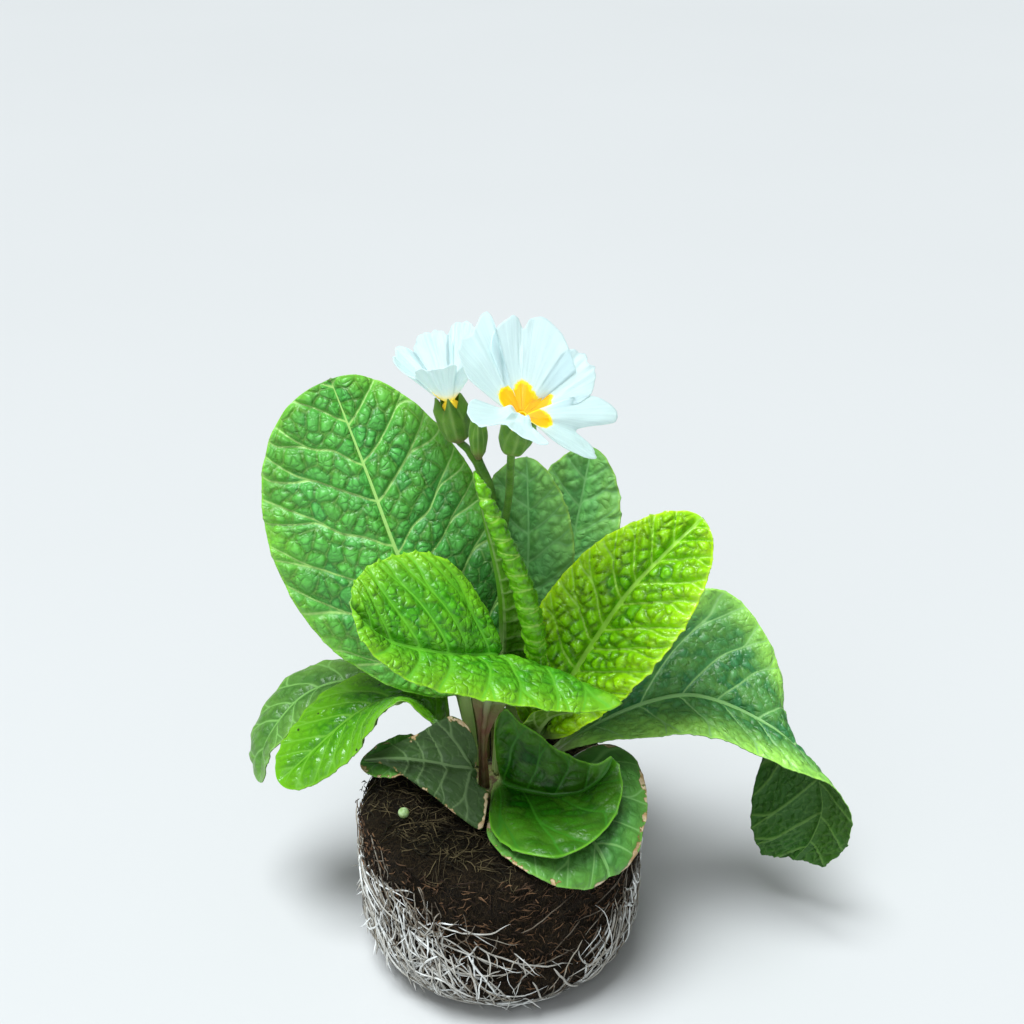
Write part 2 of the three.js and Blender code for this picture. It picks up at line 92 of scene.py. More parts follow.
# %% Lamps
SKY_COLOUR = (0.90, 0.96, 1.0)
SKY_PLACE = (-0.20, -0.14, 1.0)
SKY_ANGLE = 30          # degrees across
SKY_STRENGTH = 4.0
FRONT_PLACE = (-0.4, -1.3, 1.0)
FRONT_POWER = 6.0       # watts
FRONT_SIZE = 1.2        # metres, as the lamps' places are
PLANT_MIDDLE = Vector((0, 0, 0.09))


def add_lamp(name, kind, place, energy, colour):
    """A lamp in metres that points at the middle of the plant."""
    lamp = bpy.data.objects.new(name, bpy.data.lights.new(name, kind))
    lamp.data.energy = energy
    lamp.data.color = colour
    lamp.location = place
    aim = PLANT_MIDDLE - Vector(place)
    lamp.rotation_euler = aim.to_track_quat("-Z", "Y").to_euler()
    bpy.context.scene.collection.objects.link(lamp)
    return lamp.data


add_lamp("open_sky", "SUN", SKY_PLACE, SKY_STRENGTH, SKY_COLOUR).angle = math.radians(SKY_ANGLE)
add_lamp("front_sky", "AREA", FRONT_PLACE, FRONT_POWER, SKY_COLOUR).size = FRONT_SIZE
print("lamps:", [lamp.name for lamp in bpy.data.lights])

# %% World
GLOW_COLOUR = (0.92, 0.96, 1.0, 1)
GLOW = 0.22
BACKDROP = 0.78         # how bright the sky looks beyond the floor

world = bpy.data.worlds.new("studio")
world.use_nodes = True
sky = world.node_tree.nodes["Background"].inputs
sky["Color"].default_value = GLOW_COLOUR
seen = world.node_tree.nodes.new("ShaderNodeLightPath").outputs["Is Camera Ray"]
strength = world.node_tree.nodes.new("ShaderNodeMapRange")
strength.inputs["To Min"].default_value = GLOW
strength.inputs["To Max"].default_value = BACKDROP
world.node_tree.links.new(seen, strength.inputs["Value"])
world.node_tree.links.new(strength.outputs["Result"], sky["Strength"])
bpy.context.scene.world = world
bpy.context.scene.view_settings.view_transform = "Standard"
print("glow:", GLOW, "and behind the floor:", BACKDROP)

# %% Floor
FLOOR_SIZE = 12.0       # metres

bpy.ops.mesh.primitive_plane_add(size=FLOOR_SIZE)
floor = bpy.context.object
floor.name = "floor"
print("floor:", FLOOR_SIZE, "m across")

# %% [markdown]
# ## A shorthand for materials
#
# A material is a tree of small nodes. Making each node takes four or five lines of Python, so
# this helper does it in one. It can add a node, wire sockets together, and it knows the few
# kinds of node that every finish here is made of: mixes of colour, arithmetic, noise and cells.

# %% Shorthand for node trees
def rgb(red, green, blue):
    """A colour socket's value, with its alpha."""
    return (red, green, blue, 1.0)


class Wiring:
    """Adds nodes to one tree. A value may be a number, a colour or another node's socket."""

    def __init__(self, tree):
        self.tree = tree

    def feed(self, socket, value):
        """Links another node's socket to this one, or sets this one's own value."""
        if isinstance(value, bpy.types.NodeSocket):
            self.tree.links.new(value, socket)
        else:
            socket.default_value = value

    def node(self, kind, values=(), **settings):
        """Adds a node, chooses its settings and feeds its inputs by name or number."""
        made = self.tree.nodes.new("ShaderNode" + kind)
        for name, value in settings.items():
            setattr(made, name, value)
        for name, value in dict(values).items():
            self.feed(made.inputs[name], value)
        return made

    def mix(self, share, first, second):
        """Blends two colours. The node has sockets of every kind, so its colours go by number."""
        made = self.node("Mix", data_type="RGBA", blend_type="MIX", clamp_result=True)
        for index, value in ((0, share), (6, first), (7, second)):
            self.feed(made.inputs[index], value)
        return made.outputs[2]

    def math(self, operation, *values):
        """One sum, such as ADD, of one or two values."""
        return self.node("Math", dict(enumerate(values)), operation=operation).outputs[0]

    def product(self, *values):
        """Multiplies any number of values."""
        total = values[0]
        for value in values[1:]:
            total = self.math("MULTIPLY", total, value)
        return total

    def step(self, value, low, high, start=0.0, end=1.0):
        """Turns smoothly from start to end as value goes from low to high."""
        ends = {"From Min": low, "From Max": high, "To Min": start, "To Max": end}
        made = self.node("MapRange", {"Value": value, **ends}, interpolation_type="SMOOTHSTEP")
        return made.outputs["Result"]

    def mask(self, name):
        """A number that the mesh carries on its points."""
        return self.node("Attribute", attribute_name=name).outputs["Fac"]

    def near(self, name, core, fade):
        """1 where the mesh's number is below core, and 0 above fade."""
        return self.step(self.mask(name), core, fade, 1.0, 0.0)

    def spot(self):
        """The place on the piece, in metres."""
        return self.node("TexCoord").outputs["Object"]

    def noise(self, size, detail=3.0, roughness=0.5):
        """Soft clouds whose lumps are about size millimetres across."""
        values = {"Scale": 1 / (size * MM), "Detail": detail, "Roughness": roughness}
        return self.node("TexNoise", {"Vector": self.spot(), **values}).outputs["Fac"]

    def wavy_spot(self, size, sway):
        """The same place, swayed to and fro by sway millimetres in waves of size millimetres."""
        values = {"Vector": self.spot(), "Scale": 1 / (size * MM), "Detail": 2.0}
        waves = self.node("TexNoise", values).outputs["Color"]
        values = {0: waves, 1: (sway * MM,) * 3, 2: self.spot()}
        return self.node("VectorMath", values, operation="MULTIPLY_ADD").outputs["Vector"]

    def cells(self, size, feature="DISTANCE_TO_EDGE", place=None):
        """Cells about size millimetres across: how far the nearest wall or middle is."""
        values = {"Vector": place or self.spot(), "Scale": 1 / (size * MM)}
        return self.node("TexVoronoi", values, feature=feature).outputs["Distance"]


print("helpers:", [name for name in vars(Wiring) if not name.startswith("_")])


# %% Groups and materials
def new_group(name, inputs, outputs):
    """A shader node group with named sockets: its wiring, its input node and its output node."""
    tree = bpy.data.node_groups.new(name, "ShaderNodeTree")
    kinds = {"colour": "NodeSocketColor", "number": "NodeSocketFloat"}
    for socket, kind in inputs.items():
        tree.interface.new_socket(name=socket, in_out="INPUT", socket_type=kinds[kind])
    for socket, kind in outputs.items():
        tree.interface.new_socket(name=socket, in_out="OUTPUT", socket_type=kinds[kind])
    ends = tree.nodes.new("NodeGroupInput"), tree.nodes.new("NodeGroupOutput")
    return Wiring(tree), ends[0].outputs, ends[1].inputs


def new_material(name, **constants):
    """A material with one Principled shader: its wiring and the shader's inputs."""
    material = bpy.data.materials.new(name)
    material.use_nodes = True
    shader = material.node_tree.nodes["Principled BSDF"].inputs
    for socket, value in constants.items():
        shader[socket.replace("_", " ")].default_value = value
    return material, Wiring(material.node_tree), shader


def use_group(wiring, tree_name, values):
    """Places a node group in a material and feeds its inputs."""
    placed = wiring.node("Group", node_tree=bpy.data.node_groups[tree_name])
    for name, value in values.items():
        wiring.feed(placed.inputs[name], value)
    return placed.outputs


def bump(wiring, shader, height, depth):
    """Feeds a height, in lumps of depth millimetres, to the shader's normal."""
    values = {"Height": height, "Distance": depth * MM, "Strength": 1.0}
    wiring.feed(shader["Normal"], wiring.node("Bump", values).outputs["Normal"])


floor_material, paint, shader = new_material("pale_floor", Roughness=0.6)
floor_shade = paint.mix(paint.noise(400), rgb(0.61, 0.61, 0.60), rgb(0.64, 0.64, 0.63))
paint.feed(shader["Base Color"], floor_shade)
floor.data.materials.append(floor_material)
print("floor finish:", floor_material.name)

# %% [markdown]
# ## Surfaces as grids of numbers
#
# A leaf or a petal is a sheet. The plainest way to make one is a grid of points, each worked out
# by a formula, with a four-sided face between every four neighbours. numpy works out the whole
# grid at once, which is hundreds of times faster than moving points one by one in Blender, and
# it gives full control over where a vein or a tooth lies. A second grid just below the first and
# a strip round the rim close the sheet into a thin solid, as a real leaf is.

# %% Numbers and noise
SCRAMBLE = (127.1, 311.7, 74.7, 43758.5453)     # any odd-looking numbers do
WALKED_STEPS = 400


def smooth(value, low, high):
    """0 below low, 1 above high and a soft turn between."""
    share = np.clip((np.asarray(value, float) - low) / (high - low), 0, 1)
    return share * share * (3 - 2 * share)


def unit(vectors):
    """The same directions with a length of one."""
    return vectors / np.maximum(np.linalg.norm(vectors, axis=-1, keepdims=True), 1e-9)


def dice(first, second, salt):
    """A fixed throw from 0 to 1 for each pair of whole numbers."""
    wave = np.sin(first * SCRAMBLE[0] + second * SCRAMBLE[1] + salt * SCRAMBLE[2]) * SCRAMBLE[3]
    return wave - np.floor(wave)


def clouds(points, size, salt=0.0):
    """Soft noise from -1 to 1 through space, with lumps about size across."""
    place = np.asarray(points, float) / size + salt
    low = np.floor(place)
    share = place - low
    share = share * share * (3 - 2 * share)
    total = 0
    for corner in np.ndindex(2, 2, 2):
        at = low + corner
        weight = np.prod(np.where(corner, share, 1 - share), axis=-1)
        total = total + weight * dice(at[..., 0] + 57 * at[..., 2], at[..., 1], salt)
    return 2 * total - 1


print("lowest of 500 clouds:", round(clouds(np.random.default_rng(1).random((500, 3)) * 50, 3).min(), 2))


# %% Routes
def spline(knots, places):
    """A smooth curve through evenly spaced knots, read at places from 0 to 1."""
    knots = np.asarray(knots, float)
    padded = np.vstack([2 * knots[0] - knots[1], knots, 2 * knots[-1] - knots[-2]])
    at = np.clip(places, 0, 1) * (len(knots) - 1)
    low = np.minimum(at.astype(int), len(knots) - 2)
    t = (at - low)[:, None]
    a, b, c, d = (padded[low + index] for index in range(4))
    return 0.5 * (2 * b + (c - a) * t + (2 * a - 5 * b + 4 * c - d) * t**2 + (3 * b - a - 3 * c + d) * t**3)


def travelled(points):
    """How far each point of a route is from its start, along the route."""
    return np.concatenate([[0], np.cumsum(np.linalg.norm(np.diff(points, axis=0), axis=1))])


def spaced_spline(knots, places):
    """The same curve, read by the share of its length that has been walked."""
    fine = np.linspace(0, 1, WALKED_STEPS)
    walked = travelled(spline(knots, fine))
    return spline(knots, np.interp(places, walked / walked[-1], fine))


def stations(values, places):
    """Reads a list of evenly spaced stations, in straight steps."""
    values = np.asarray(values, float)
    steps = np.linspace(0, 1, len(values))
    if values.ndim == 1:
        return np.interp(places, steps, values)
    return np.stack([np.interp(places, steps, column) for column in values.T], axis=-1)


print("half way along a bent route:", spaced_spline([[0, 0, 0], [10, 0, 5], [20, 0, 0]], np.array([0.5])))

# %% From points to a piece
def build(name, points, faces, masks, material, slot, *nodes):
    """Makes a piece from points in millimetres, and puts it in the frame in place of nodes."""
    mesh = bpy.data.meshes.new(name)
    mesh.from_pydata((np.asarray(points) * MM).tolist(), [], faces)
    for mask, values in masks.items():
        layer = mesh.attributes.new(mask, "FLOAT", "POINT")
        layer.data.foreach_set("value", np.ascontiguousarray(values, np.float32).ravel())
    mesh.shade_smooth()
    mesh.materials.append(material)
    piece = bpy.data.objects.new(name, mesh)
    bpy.context.scene.collection.objects.link(piece)
    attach(piece, "root")
    if nodes:
        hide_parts(*nodes)


print("one unit of a piece's points is", MM, "m")

# %% Grids and thin solids
def grid_faces(rows, columns, start=0, flip=False, wrap=False):
    """The four-sided faces of a grid of points, kept row after row."""
    last = columns if wrap else columns - 1
    row, column = np.meshgrid(np.arange(rows - 1), np.arange(last), indexing="ij")
    here = start + row * columns + column
    right = start + row * columns + (column + 1) % columns
    faces = np.stack([here, right, right + columns, here + columns], axis=-1).reshape(-1, 4)
    return faces[:, ::-1] if flip else faces


def thin_solid(upper, lower):
    """Two like grids of points, closed into one solid by a strip round the rim."""
    rows, columns = upper.shape[:2]
    count = rows * columns
    index = np.arange(count).reshape(rows, columns)
    rim = np.concatenate([index[0, :-1], index[:-1, -1], index[-1, :0:-1], index[:0:-1, 0]])
    after = np.roll(rim, -1)
    strip = np.stack([rim, rim + count, after + count, after], axis=-1)
    faces = np.vstack([grid_faces(rows, columns), grid_faces(rows, columns, count, flip=True), strip])
    return np.vstack([upper.reshape(-1, 3), lower.reshape(-1, 3)]), faces.tolist()


def on_both(mask, grid):
    """Repeats a mask of the upper grid's points for the lower grid."""
    return np.tile(np.broadcast_to(mask, grid.shape[:2]).ravel(), 2)


def sheet_normals(points):
    """The direction that each point of a grid faces."""
    along = np.gradient(points, axis=0)
    across = np.gradient(points, axis=1)
    return unit(np.cross(across, along))


print("grid of 3 by 3 points:", len(grid_faces(3, 3)), "faces")

# %% [markdown]
# ## The leaf's shape
#
# Every leaf grows from the crown as a stalk that widens into a blade. Two recipes make the
# sheet. A plain leaf follows its spine: each half of the blade folds up from the midrib by an
# angle and may roll on towards its margin. A leaf that twists too much for that is spanned from
# its midrib to a route along each margin. The routes are the CAD model's own, so that each
# finished leaf lies where its plain solid lies.

# %% Leaf sheets
STALK_HALF_WIDTH = 1.9
STALK_TAPER = 0.93      # how much of that is gone at the leaf's tip


def blade_share(spec, side, place):
    """How wide one half of the blade is, as a share of its greatest width."""
    along = np.clip((place - spec["stalk"]) / (1 - spec["stalk"]), 0, 1)
    shift = math.log(0.5) / math.log(spec["belly"][side])
    return np.clip(np.sin(np.pi * along**shift), 0, 1) ** spec["blunt"][side]


def folded_sheet(spec, place, reach):
    """A leaf whose halves fold up from its spine, as a grid of points in millimetres."""
    middle = spaced_spline(spec["spine"], place)
    along = unit(np.gradient(middle, axis=0))
    face = stations(spec["face"], place)
    face = unit(face - along * (face * along).sum(1, keepdims=True))
    across = np.cross(along, face)
    halves = []
    for side, sign in ((0, -1), (1, 1)):
        stalk = STALK_HALF_WIDTH * (1 - STALK_TAPER * place**6)
        width = np.hypot(stalk, spec["width"][side] * blade_share(spec, side, place))
        fold = stations(spec["fold"][side], place)[:, None]
        roll = stations(spec["roll"][side], place)[:, None]
        tilt = np.radians(fold + roll * reach[None] ** spec["roll_power"])
        stride = np.diff(reach, prepend=0)[None] * width[:, None]
        out = np.cumsum(np.cos(tilt) * stride, axis=1)[..., None]
        up = np.cumsum(np.sin(tilt) * stride, axis=1)[..., None]
        halves.append(middle[:, None] + across[:, None] * sign * out + face[:, None] * up)
    return np.concatenate([halves[0][:, :0:-1], halves[1]], axis=1)


def spanned_sheet(spec, place, reach):
    """A leaf spanned from its midrib to its two margins."""
    middle = spline(spec["midrib"], place)
    margins = [spline(spec[side], place) for side in ("left", "right")]
    along = np.gradient(middle, axis=0)
    face = unit(np.cross(margins[1] - margins[0], along))
    halves = []
    for margin, bulge in zip(margins, spec["bulge"]):
        span = np.linalg.norm(margin - middle, axis=1)[:, None]
        lift = bulge * np.sin(np.pi * reach)[None] * span
        share = reach[None, :, None]
        flat = middle[:, None] * (1 - share) + margin[:, None] * share
        halves.append(flat + face[:, None] * lift[..., None])
    return np.concatenate([halves[0][:, :0:-1], halves[1]], axis=1)


print("a stalk is", 2 * STALK_HALF_WIDTH, "mm wide")

# %% [markdown]
# ## Veins and wrinkles
#
# A primrose leaf is quilted. A pale midrib sends out side veins every centimetre or so. They
# lean towards the tip, fork before the margin, and finer veins between them close a net of
# cells a few millimetres across. The blade puffs up in every cell and is pinned down at every
# vein. To draw the net, each point of the blade gets two coordinates: which side vein it is
# level with, and how far out it is. In those coordinates the side veins are straight lines at
# whole numbers, and the net between them is a Voronoi diagram, the pattern of walls halfway
# between scattered middles. From the distances to the veins come both the relief of the mesh
# and the masks that colour it.

# %% Side veins
VEIN_DRIFT = 0.36       # how far a side vein strays from its even place, as a share of the pitch
NARROWEST = 0.6         # the blade's ends are read as this share of its width, so veins don't crowd


def side_vein_level(spec, along, out, half_width):
    """Which side vein each point is level with, and how the veins slant there."""
    pitch = spec["pitch"]
    length = spec["blade_length"]
    base = along
    half_width = np.maximum(half_width, NARROWEST * half_width.max())
    first, last = spec["slant"]
    for _ in range(5):
        slant = first + (last - first) * np.clip(base / length, 0, 1)
        base = along - slant * out - spec["curl"] * out**2 / half_width
    return base / pitch, np.sqrt(1 / (1 + (slant + 2 * spec["curl"] * out / half_width) ** 2))


def side_veins(spec, level, lean, out, share, side):
    """Signed distances, in millimetres, to the side veins and to the forks that leave them."""
    pitch = spec["pitch"] * lean
    level = level + 0.10 * clouds(np.stack([out / 7, level * 0.8, side * 9], axis=-1), 1, spec["seed"])

    def drift(vein):
        return VEIN_DRIFT * (dice(vein, side, spec["seed"]) - 0.5)

    below = np.floor(level)
    below = np.where(level < below + drift(below), below - 1, below)
    below = np.where(level >= below + 1 + drift(below + 1), below + 1, below)
    between = (level - below - drift(below)) / (1 + drift(below + 1) - drift(below))
    start = [0.42 + 0.25 * dice(vein, side + 5, spec["seed"]) for vein in (below, below + 1)]
    start = start[0] + (start[1] - start[0]) * smooth(between, 0, 1)
    forked = below + between + 0.5 * smooth(share, start, start + 0.5)
    return [np.sin(np.pi * count) * pitch / np.pi for count in (below + between, forked)]


print("a side vein strays by up to", VEIN_DRIFT / 2, "of the pitch")

# %% The net between them
CELL_SCATTER = 0.36     # how far a cell's middle strays from its even place, as a share of the cell
CELL_SWAY = 0.28


def net_distance(spec, level, lean, out, side):
    """How far each point is from its cell's wall and from its middle, and a throw for each cell."""
    cell = spec["cell"]
    long_cell = cell * spec["stretch"]
    gap = spec["pitch"] * lean
    reach = out / lean.mean()
    place = np.stack([level * gap.mean() / long_cell, reach / cell], axis=-1)
    where = np.stack([place[..., 0], place[..., 1], side * 7], axis=-1)
    place = place + CELL_SWAY * np.stack([clouds(where, 1.3, salt) for salt in (3, 4)], axis=-1)
    size = np.stack([gap * long_cell / gap.mean(), cell * lean.mean() / lean], axis=-1)
    slope = np.sqrt(1 / lean**2 - 1)
    middles, throws = [], []
    for step in np.ndindex(5, 5):
        at = np.floor(place) + np.array(step) - 2
        throw = [dice(at[..., 0], at[..., 1] + 31 * side, spec["seed"] + salt) for salt in (1, 2)]
        away = ((at + 0.5 + CELL_SCATTER * (2 * np.stack(throw, axis=-1) - 1)) - place) * size
        middles.append(away + np.stack([0 * slope, away[..., 0] * slope], axis=-1))
        throws.append(throw[0])
    middles = np.array(middles)
    first = np.linalg.norm(middles, axis=-1).argmin(0)[None]
    nearest = np.take_along_axis(middles, first[..., None], 0)[0]
    apart = middles - nearest
    length = np.linalg.norm(apart, axis=-1)
    wall = ((middles + nearest) / 2 * apart).sum(-1) / np.maximum(length, 1e-6)
    wall = np.where(length < 1e-6, 99, wall).min(0)
    return wall, np.linalg.norm(nearest, axis=-1), np.take_along_axis(np.array(throws), first, 0)[0]


print("each point looks for its cell among", 5 * 5)


# %% The flattened blade
def blade_map(spec, sheet):
    """Flattens a leaf: how far along, out and from the margin each point is, and its veins."""
    half = sheet.shape[1] // 2
    along = travelled(sheet[:, half])[:, None]
    steps = np.linalg.norm(np.diff(sheet, axis=1), axis=-1)
    left = np.cumsum(steps[:, :half][:, ::-1], axis=1)[:, ::-1]
    right = np.cumsum(steps[:, half:], axis=1)
    out = np.concatenate([left, np.zeros_like(along), right], axis=1)
    side = np.broadcast_to((np.arange(out.shape[1]) > half).astype(float), out.shape)
    half_width = np.where(side > 0, right[:, -1:], left[:, :1])
    share = out / half_width
    blade = smooth(half_width, 2.5, 8)
    length = travelled(sheet[:, half])[-1]
    start = length * spec["stalk"]
    full = {**spec, "blade_length": length - start}
    level, lean = side_vein_level(full, along - start, out, half_width)
    steady_share = out / np.maximum(half_width, NARROWEST * half_width.max())
    vein, fork = side_veins(full, level, lean, out, steady_share, side)
    side_vein = np.minimum(np.abs(vein), np.abs(fork))
    wall, middle, throw = net_distance(full, level, lean, out, side)
    return {
        "along": np.broadcast_to(along, out.shape), "out": out, "side": side, "share": share,
        "half_width": half_width, "margin": half_width - out, "blade": blade, "level": level,
        "vein": vein, "fork": fork, "side_vein": side_vein, "wall": np.minimum(wall, side_vein),
        "middle": middle, "throw": throw,
    }


straight = {"stalk": 0, "pitch": 10, "slant": [0, 0], "curl": 0, "cell": 4, "stretch": 1, "seed": 1}
flat_sheet = np.stack([*np.meshgrid(np.arange(-20, 21.0), np.arange(40.0)), np.zeros((40, 41))], axis=-1)
print("a flat blade's widest cell reaches", round(blade_map(straight, flat_sheet)["wall"].max(), 1), "mm")

# %% [markdown]
# ## From sheet to leaf
#
# The relief moves each point of the flat sheet along the way it faces. Cells puff up, veins stay
# down, and the margin waves and carries a few small teeth. The underside repeats the relief a
# third of a millimetre lower, and there the veins stand out as ribs. The points carry numbers
# for the finish: how many millimetres the nearest vein, cell wall and margin are away, whether
# this is the underside, and how much of a stalk it still is. Distances stay true between two
# points of the grid, so the finish can draw lines from them that are finer than the grid.

# %% Relief
PILLOW_POWER = 3.6      # the higher, the flatter each cell's pillow is on top
CHANNEL_DEPTH = 0.8     # of the groove over the midrib
TOOTH_PITCH = 5.2


def relief(spec, flat):
    """How far each point of the blade moves out of the smooth sheet."""
    to_middle = flat["middle"] / (flat["middle"] + flat["wall"] + 0.05)
    pillow = (1 - to_middle**PILLOW_POWER) * (0.7 + 0.4 * flat["throw"])
    swell = 1 - np.exp(-flat["side_vein"] / 1.8)
    where = np.stack([flat["level"] * 3, flat["out"] / 6, flat["side"] * 9], axis=-1)
    pleat = np.abs(np.sin(np.pi * (3 * flat["level"] + 0.35 * clouds(where, 1, 8))))
    groove = np.exp(-((flat["side_vein"] / 0.6) ** 2))
    raised = spec["puff"] * (pillow - 0.3 * groove) + spec["swell"] * swell + spec["pleat"] * pleat * swell
    channel = -CHANNEL_DEPTH * np.exp(-((flat["out"] / 1.5) ** 2))
    near_rib = smooth(flat["out"], 0.4, 2.4)
    near_margin = smooth(flat["margin"], 0, 3) * 0.7 + 0.3
    return (raised * near_rib * near_margin + channel) * flat["blade"]


def waves(spec, flat):
    """The ruffle of the margin: deepest at the rim, out of step from one side to the other."""
    rim = np.exp(-flat["margin"] / (0.3 * flat["half_width"] + 1))
    beat = np.sin(flat["level"] * 2 * np.pi + 2.1 * flat["side"] + spec["seed"])
    where = np.stack([flat["along"], flat["side"] * 40, 0 * flat["out"]], axis=-1)
    slow = clouds(where, 13, spec["seed"])
    return spec["ruffle"] * rim * (0.5 * beat + 1.3 * slow) * flat["blade"]


def teeth(spec, flat):
    """The small teeth of the rim, from 0 between them to 1 at a tip."""
    stray = clouds(flat["along"][..., None] * [1, 0, 0], 9, spec["seed"])
    beat = flat["along"] / TOOTH_PITCH + 0.6 * stray
    saw = beat - np.floor(beat)
    size = 0.3 + 0.7 * dice(np.floor(beat), flat["side"], spec["seed"])
    return size * np.exp(-(((saw - 0.5) / 0.13) ** 2)) * np.exp(-flat["margin"] / 0.8) * flat["blade"]


print("teeth stand", TOOTH_PITCH, "mm apart")

# %% Thickness
LEAF_THICKNESS = 0.35
RIB_DEPTH = 1.8
RIB_HALF_WIDTH = 1.35   # at the foot, and 0.95 less at the tip


def leaf_normals(sheet):
    """The way each point faces. The last rows crowd into the tip, so they copy the row before."""
    facing = sheet_normals(sheet)
    facing[-5:] = facing[-6]
    return facing


def rib_half_width(spec, place):
    """Half the midrib's width at each row."""
    return spec["rib"] * (RIB_HALF_WIDTH - 0.95 * place[:, None])


def thickness(spec, flat, place):
    """How far below the upper surface the lower one lies: the blade and the ribs under it."""
    rib_half = rib_half_width(spec, place)
    round_rib = np.sqrt(np.clip(1 - (flat["out"] / (1.2 * rib_half)) ** 2, 0, 1))
    rib = RIB_DEPTH * spec["rib"] * (1 - 0.8 * place[:, None]) * round_rib
    net = 0.2 * np.exp(-((flat["wall"] / 0.45) ** 2)) + 0.5 * np.exp(-((flat["side_vein"] / 0.5) ** 2))
    net = spec["net_rib"] * net * smooth(flat["out"], rib_half, 2.5 * rib_half)
    return LEAF_THICKNESS + net * flat["blade"] * smooth(flat["margin"], 0, 1.5) + rib


print("a blade is", LEAF_THICKNESS, "mm thick")

# %% A whole leaf
LEAF_DEFAULTS = {
    # the outline: where the stalk ends, where each half is widest and how blunt its ends are
    "stalk": 0.2, "belly": [0.5, 0.5], "blunt": [0.5, 0.5],
    # how each half folds and rolls up, in degrees
    "fold": [[0, 0], [0, 0]], "roll": [[0, 0], [0, 0]], "roll_power": 2,
    # the veins: pitch and slant of the side veins, size and stretch of the cells between
    "pitch": 11, "slant": [0.35, 1.0], "curl": 0.25, "cell": 4.2, "stretch": 1.0,
    # the relief, in millimetres
    "puff": 0.8, "swell": 0.6, "pleat": 0.0, "ruffle": 0.9, "tooth": 0.6, "rib": 1.0, "net_rib": 1.0,
    # the throw of the dice, and the millimetres between two points of the grid
    "seed": 1, "step": 0.66,
}


def leaf_grid(spec):
    """Where the grid's rows and columns lie. They crowd a little towards the tip and the rim."""
    route = spec.get("spine") or spec["midrib"]
    widest = max(spec["width"]) if "width" in spec else spec["widest"]
    rows = int(travelled(spline(route, np.linspace(0, 1, 50)))[-1] / spec["step"])
    half = int(widest / spec["step"] * 0.9)
    return 1 - (1 - np.linspace(0, 1, rows)) ** 1.4, 1 - (1 - np.linspace(0, 1, half)) ** 1.1


def leaf(name, material, slot, **shape):
    """Makes one leaf from its routes and puts it in place of its CAD node."""
    spec = {**LEAF_DEFAULTS, **shape}
    place, reach = leaf_grid(spec)
    sheet = (folded_sheet if "spine" in spec else spanned_sheet)(spec, place, reach)
    flat = blade_map(spec, sheet)
    sign = np.where(flat["side"] > 0, 1, -1)
    outward = unit(np.gradient(sheet, axis=1)) * sign[..., None]
    tips = teeth(spec, flat)
    upper = sheet + leaf_normals(sheet) * (relief(spec, flat) + waves(spec, flat))[..., None]
    upper = upper + outward * (spec["tooth"] * tips)[..., None]
    lower = upper - leaf_normals(upper) * thickness(spec, flat, place)[..., None]
    points, faces = thin_solid(upper, lower)
    is_stalk = (1 - smooth(flat["half_width"], 3, 9)) * (1 - smooth(place, 0.35, 0.55))[:, None]
    masks = {mask: flat[mask] for mask in ("wall", "vein", "fork", "share", "margin", "blade")}
    masks.update(
        rib=sign * flat["out"] / rib_half_width(spec, place), tip=tips, tone=flat["throw"],
        stalk=is_stalk, along=place[:, None])
    masks = {mask: on_both(values, upper) for mask, values in masks.items()}
    masks["under"] = np.repeat([0.0, 1.0], upper[..., 0].size)
    build(name, points, faces, masks, material, slot, name)
    print(name, len(faces) * 2, "triangles")


print("leaves have", len(LEAF_DEFAULTS), "values to set")

# %% [markdown]
# ## Leaf colour as a shared group
#
# All the leaves share one recipe of colour and differ only in its values, so the recipe is a
# shader node group. Down in the grooves the blade is mixed towards a deeper green: painted shade
# for the shadow that the quilting casts there. It turns yellower towards the margin and drifts in
# soft clouds. On the right half, towards the stalk, it is mixed towards the deep green as well:
# painted shade for the shadow of the younger leaves above. Veins and midrib are paler, and the
# underside is a dull grey green with a pale net. The group also gives a roughness, and a height
# for the finest wrinkles, two or three millimetres across, which are too small for the mesh.
# They are Voronoi cells as well, cut by the leaf out of a space full of them.

# %% Leaf colour group
LEAF_INPUTS = {
    "Blade": "colour", "Deep": "colour", "Margin": "colour", "Vein": "colour", "Stalk": "colour",
    "Under": "colour", "Under Vein": "colour", "Margin Share": "number", "Wall Share": "number",
    "Rough": "number", "Crumple": "number", "Shaded": "number",
}
LEAF_RESULTS = {"Colour": "colour", "Roughness": "number", "Height": "number"}
WRINKLE_SIZE = 2.8      # millimetres
VEIN_EDGE = (0.13, 0.48)        # millimetres from a vein's middle: still vein, and no longer
WALL_EDGE = (0.03, 0.38)
RIB_EDGE = (0.75, 1.15)         # the same in half widths of the midrib
group, given, result = new_group("leaf colour", LEAF_INPUTS, LEAF_RESULTS)
cloud = group.noise(20, 4, 0.6)
fine = group.noise(1.2, 3, 0.6)
swayed = group.wavy_spot(3, 2.0)
from_middle = group.cells(WRINKLE_SIZE, "F1", swayed)
across_cell = group.math("ADD", from_middle, group.cells(WRINKLE_SIZE, "DISTANCE_TO_EDGE", swayed))
to_middle = group.math("DIVIDE", from_middle, across_cell)
wrinkle = group.math("SUBTRACT", 1.0, group.product(to_middle, to_middle))
closest = group.math("MINIMUM", *[group.math("ABSOLUTE", group.mask(name)) for name in ("vein", "fork")])
slimmer = group.product(group.mask("share"), 0.16)
is_vein = group.step(group.math("ADD", closest, slimmer), *VEIN_EDGE, 1.0, 0.0)
is_vein = group.product(is_vein, group.mask("blade"))
is_wall = group.product(group.near("wall", *WALL_EDGE), group.mask("blade"))
across_rib = group.math("ABSOLUTE", group.mask("rib"))
is_rib = group.step(across_rib, *RIB_EDGE, 1.0, 0.0)
print("veins and wrinkles:", len(group.tree.nodes), "nodes")
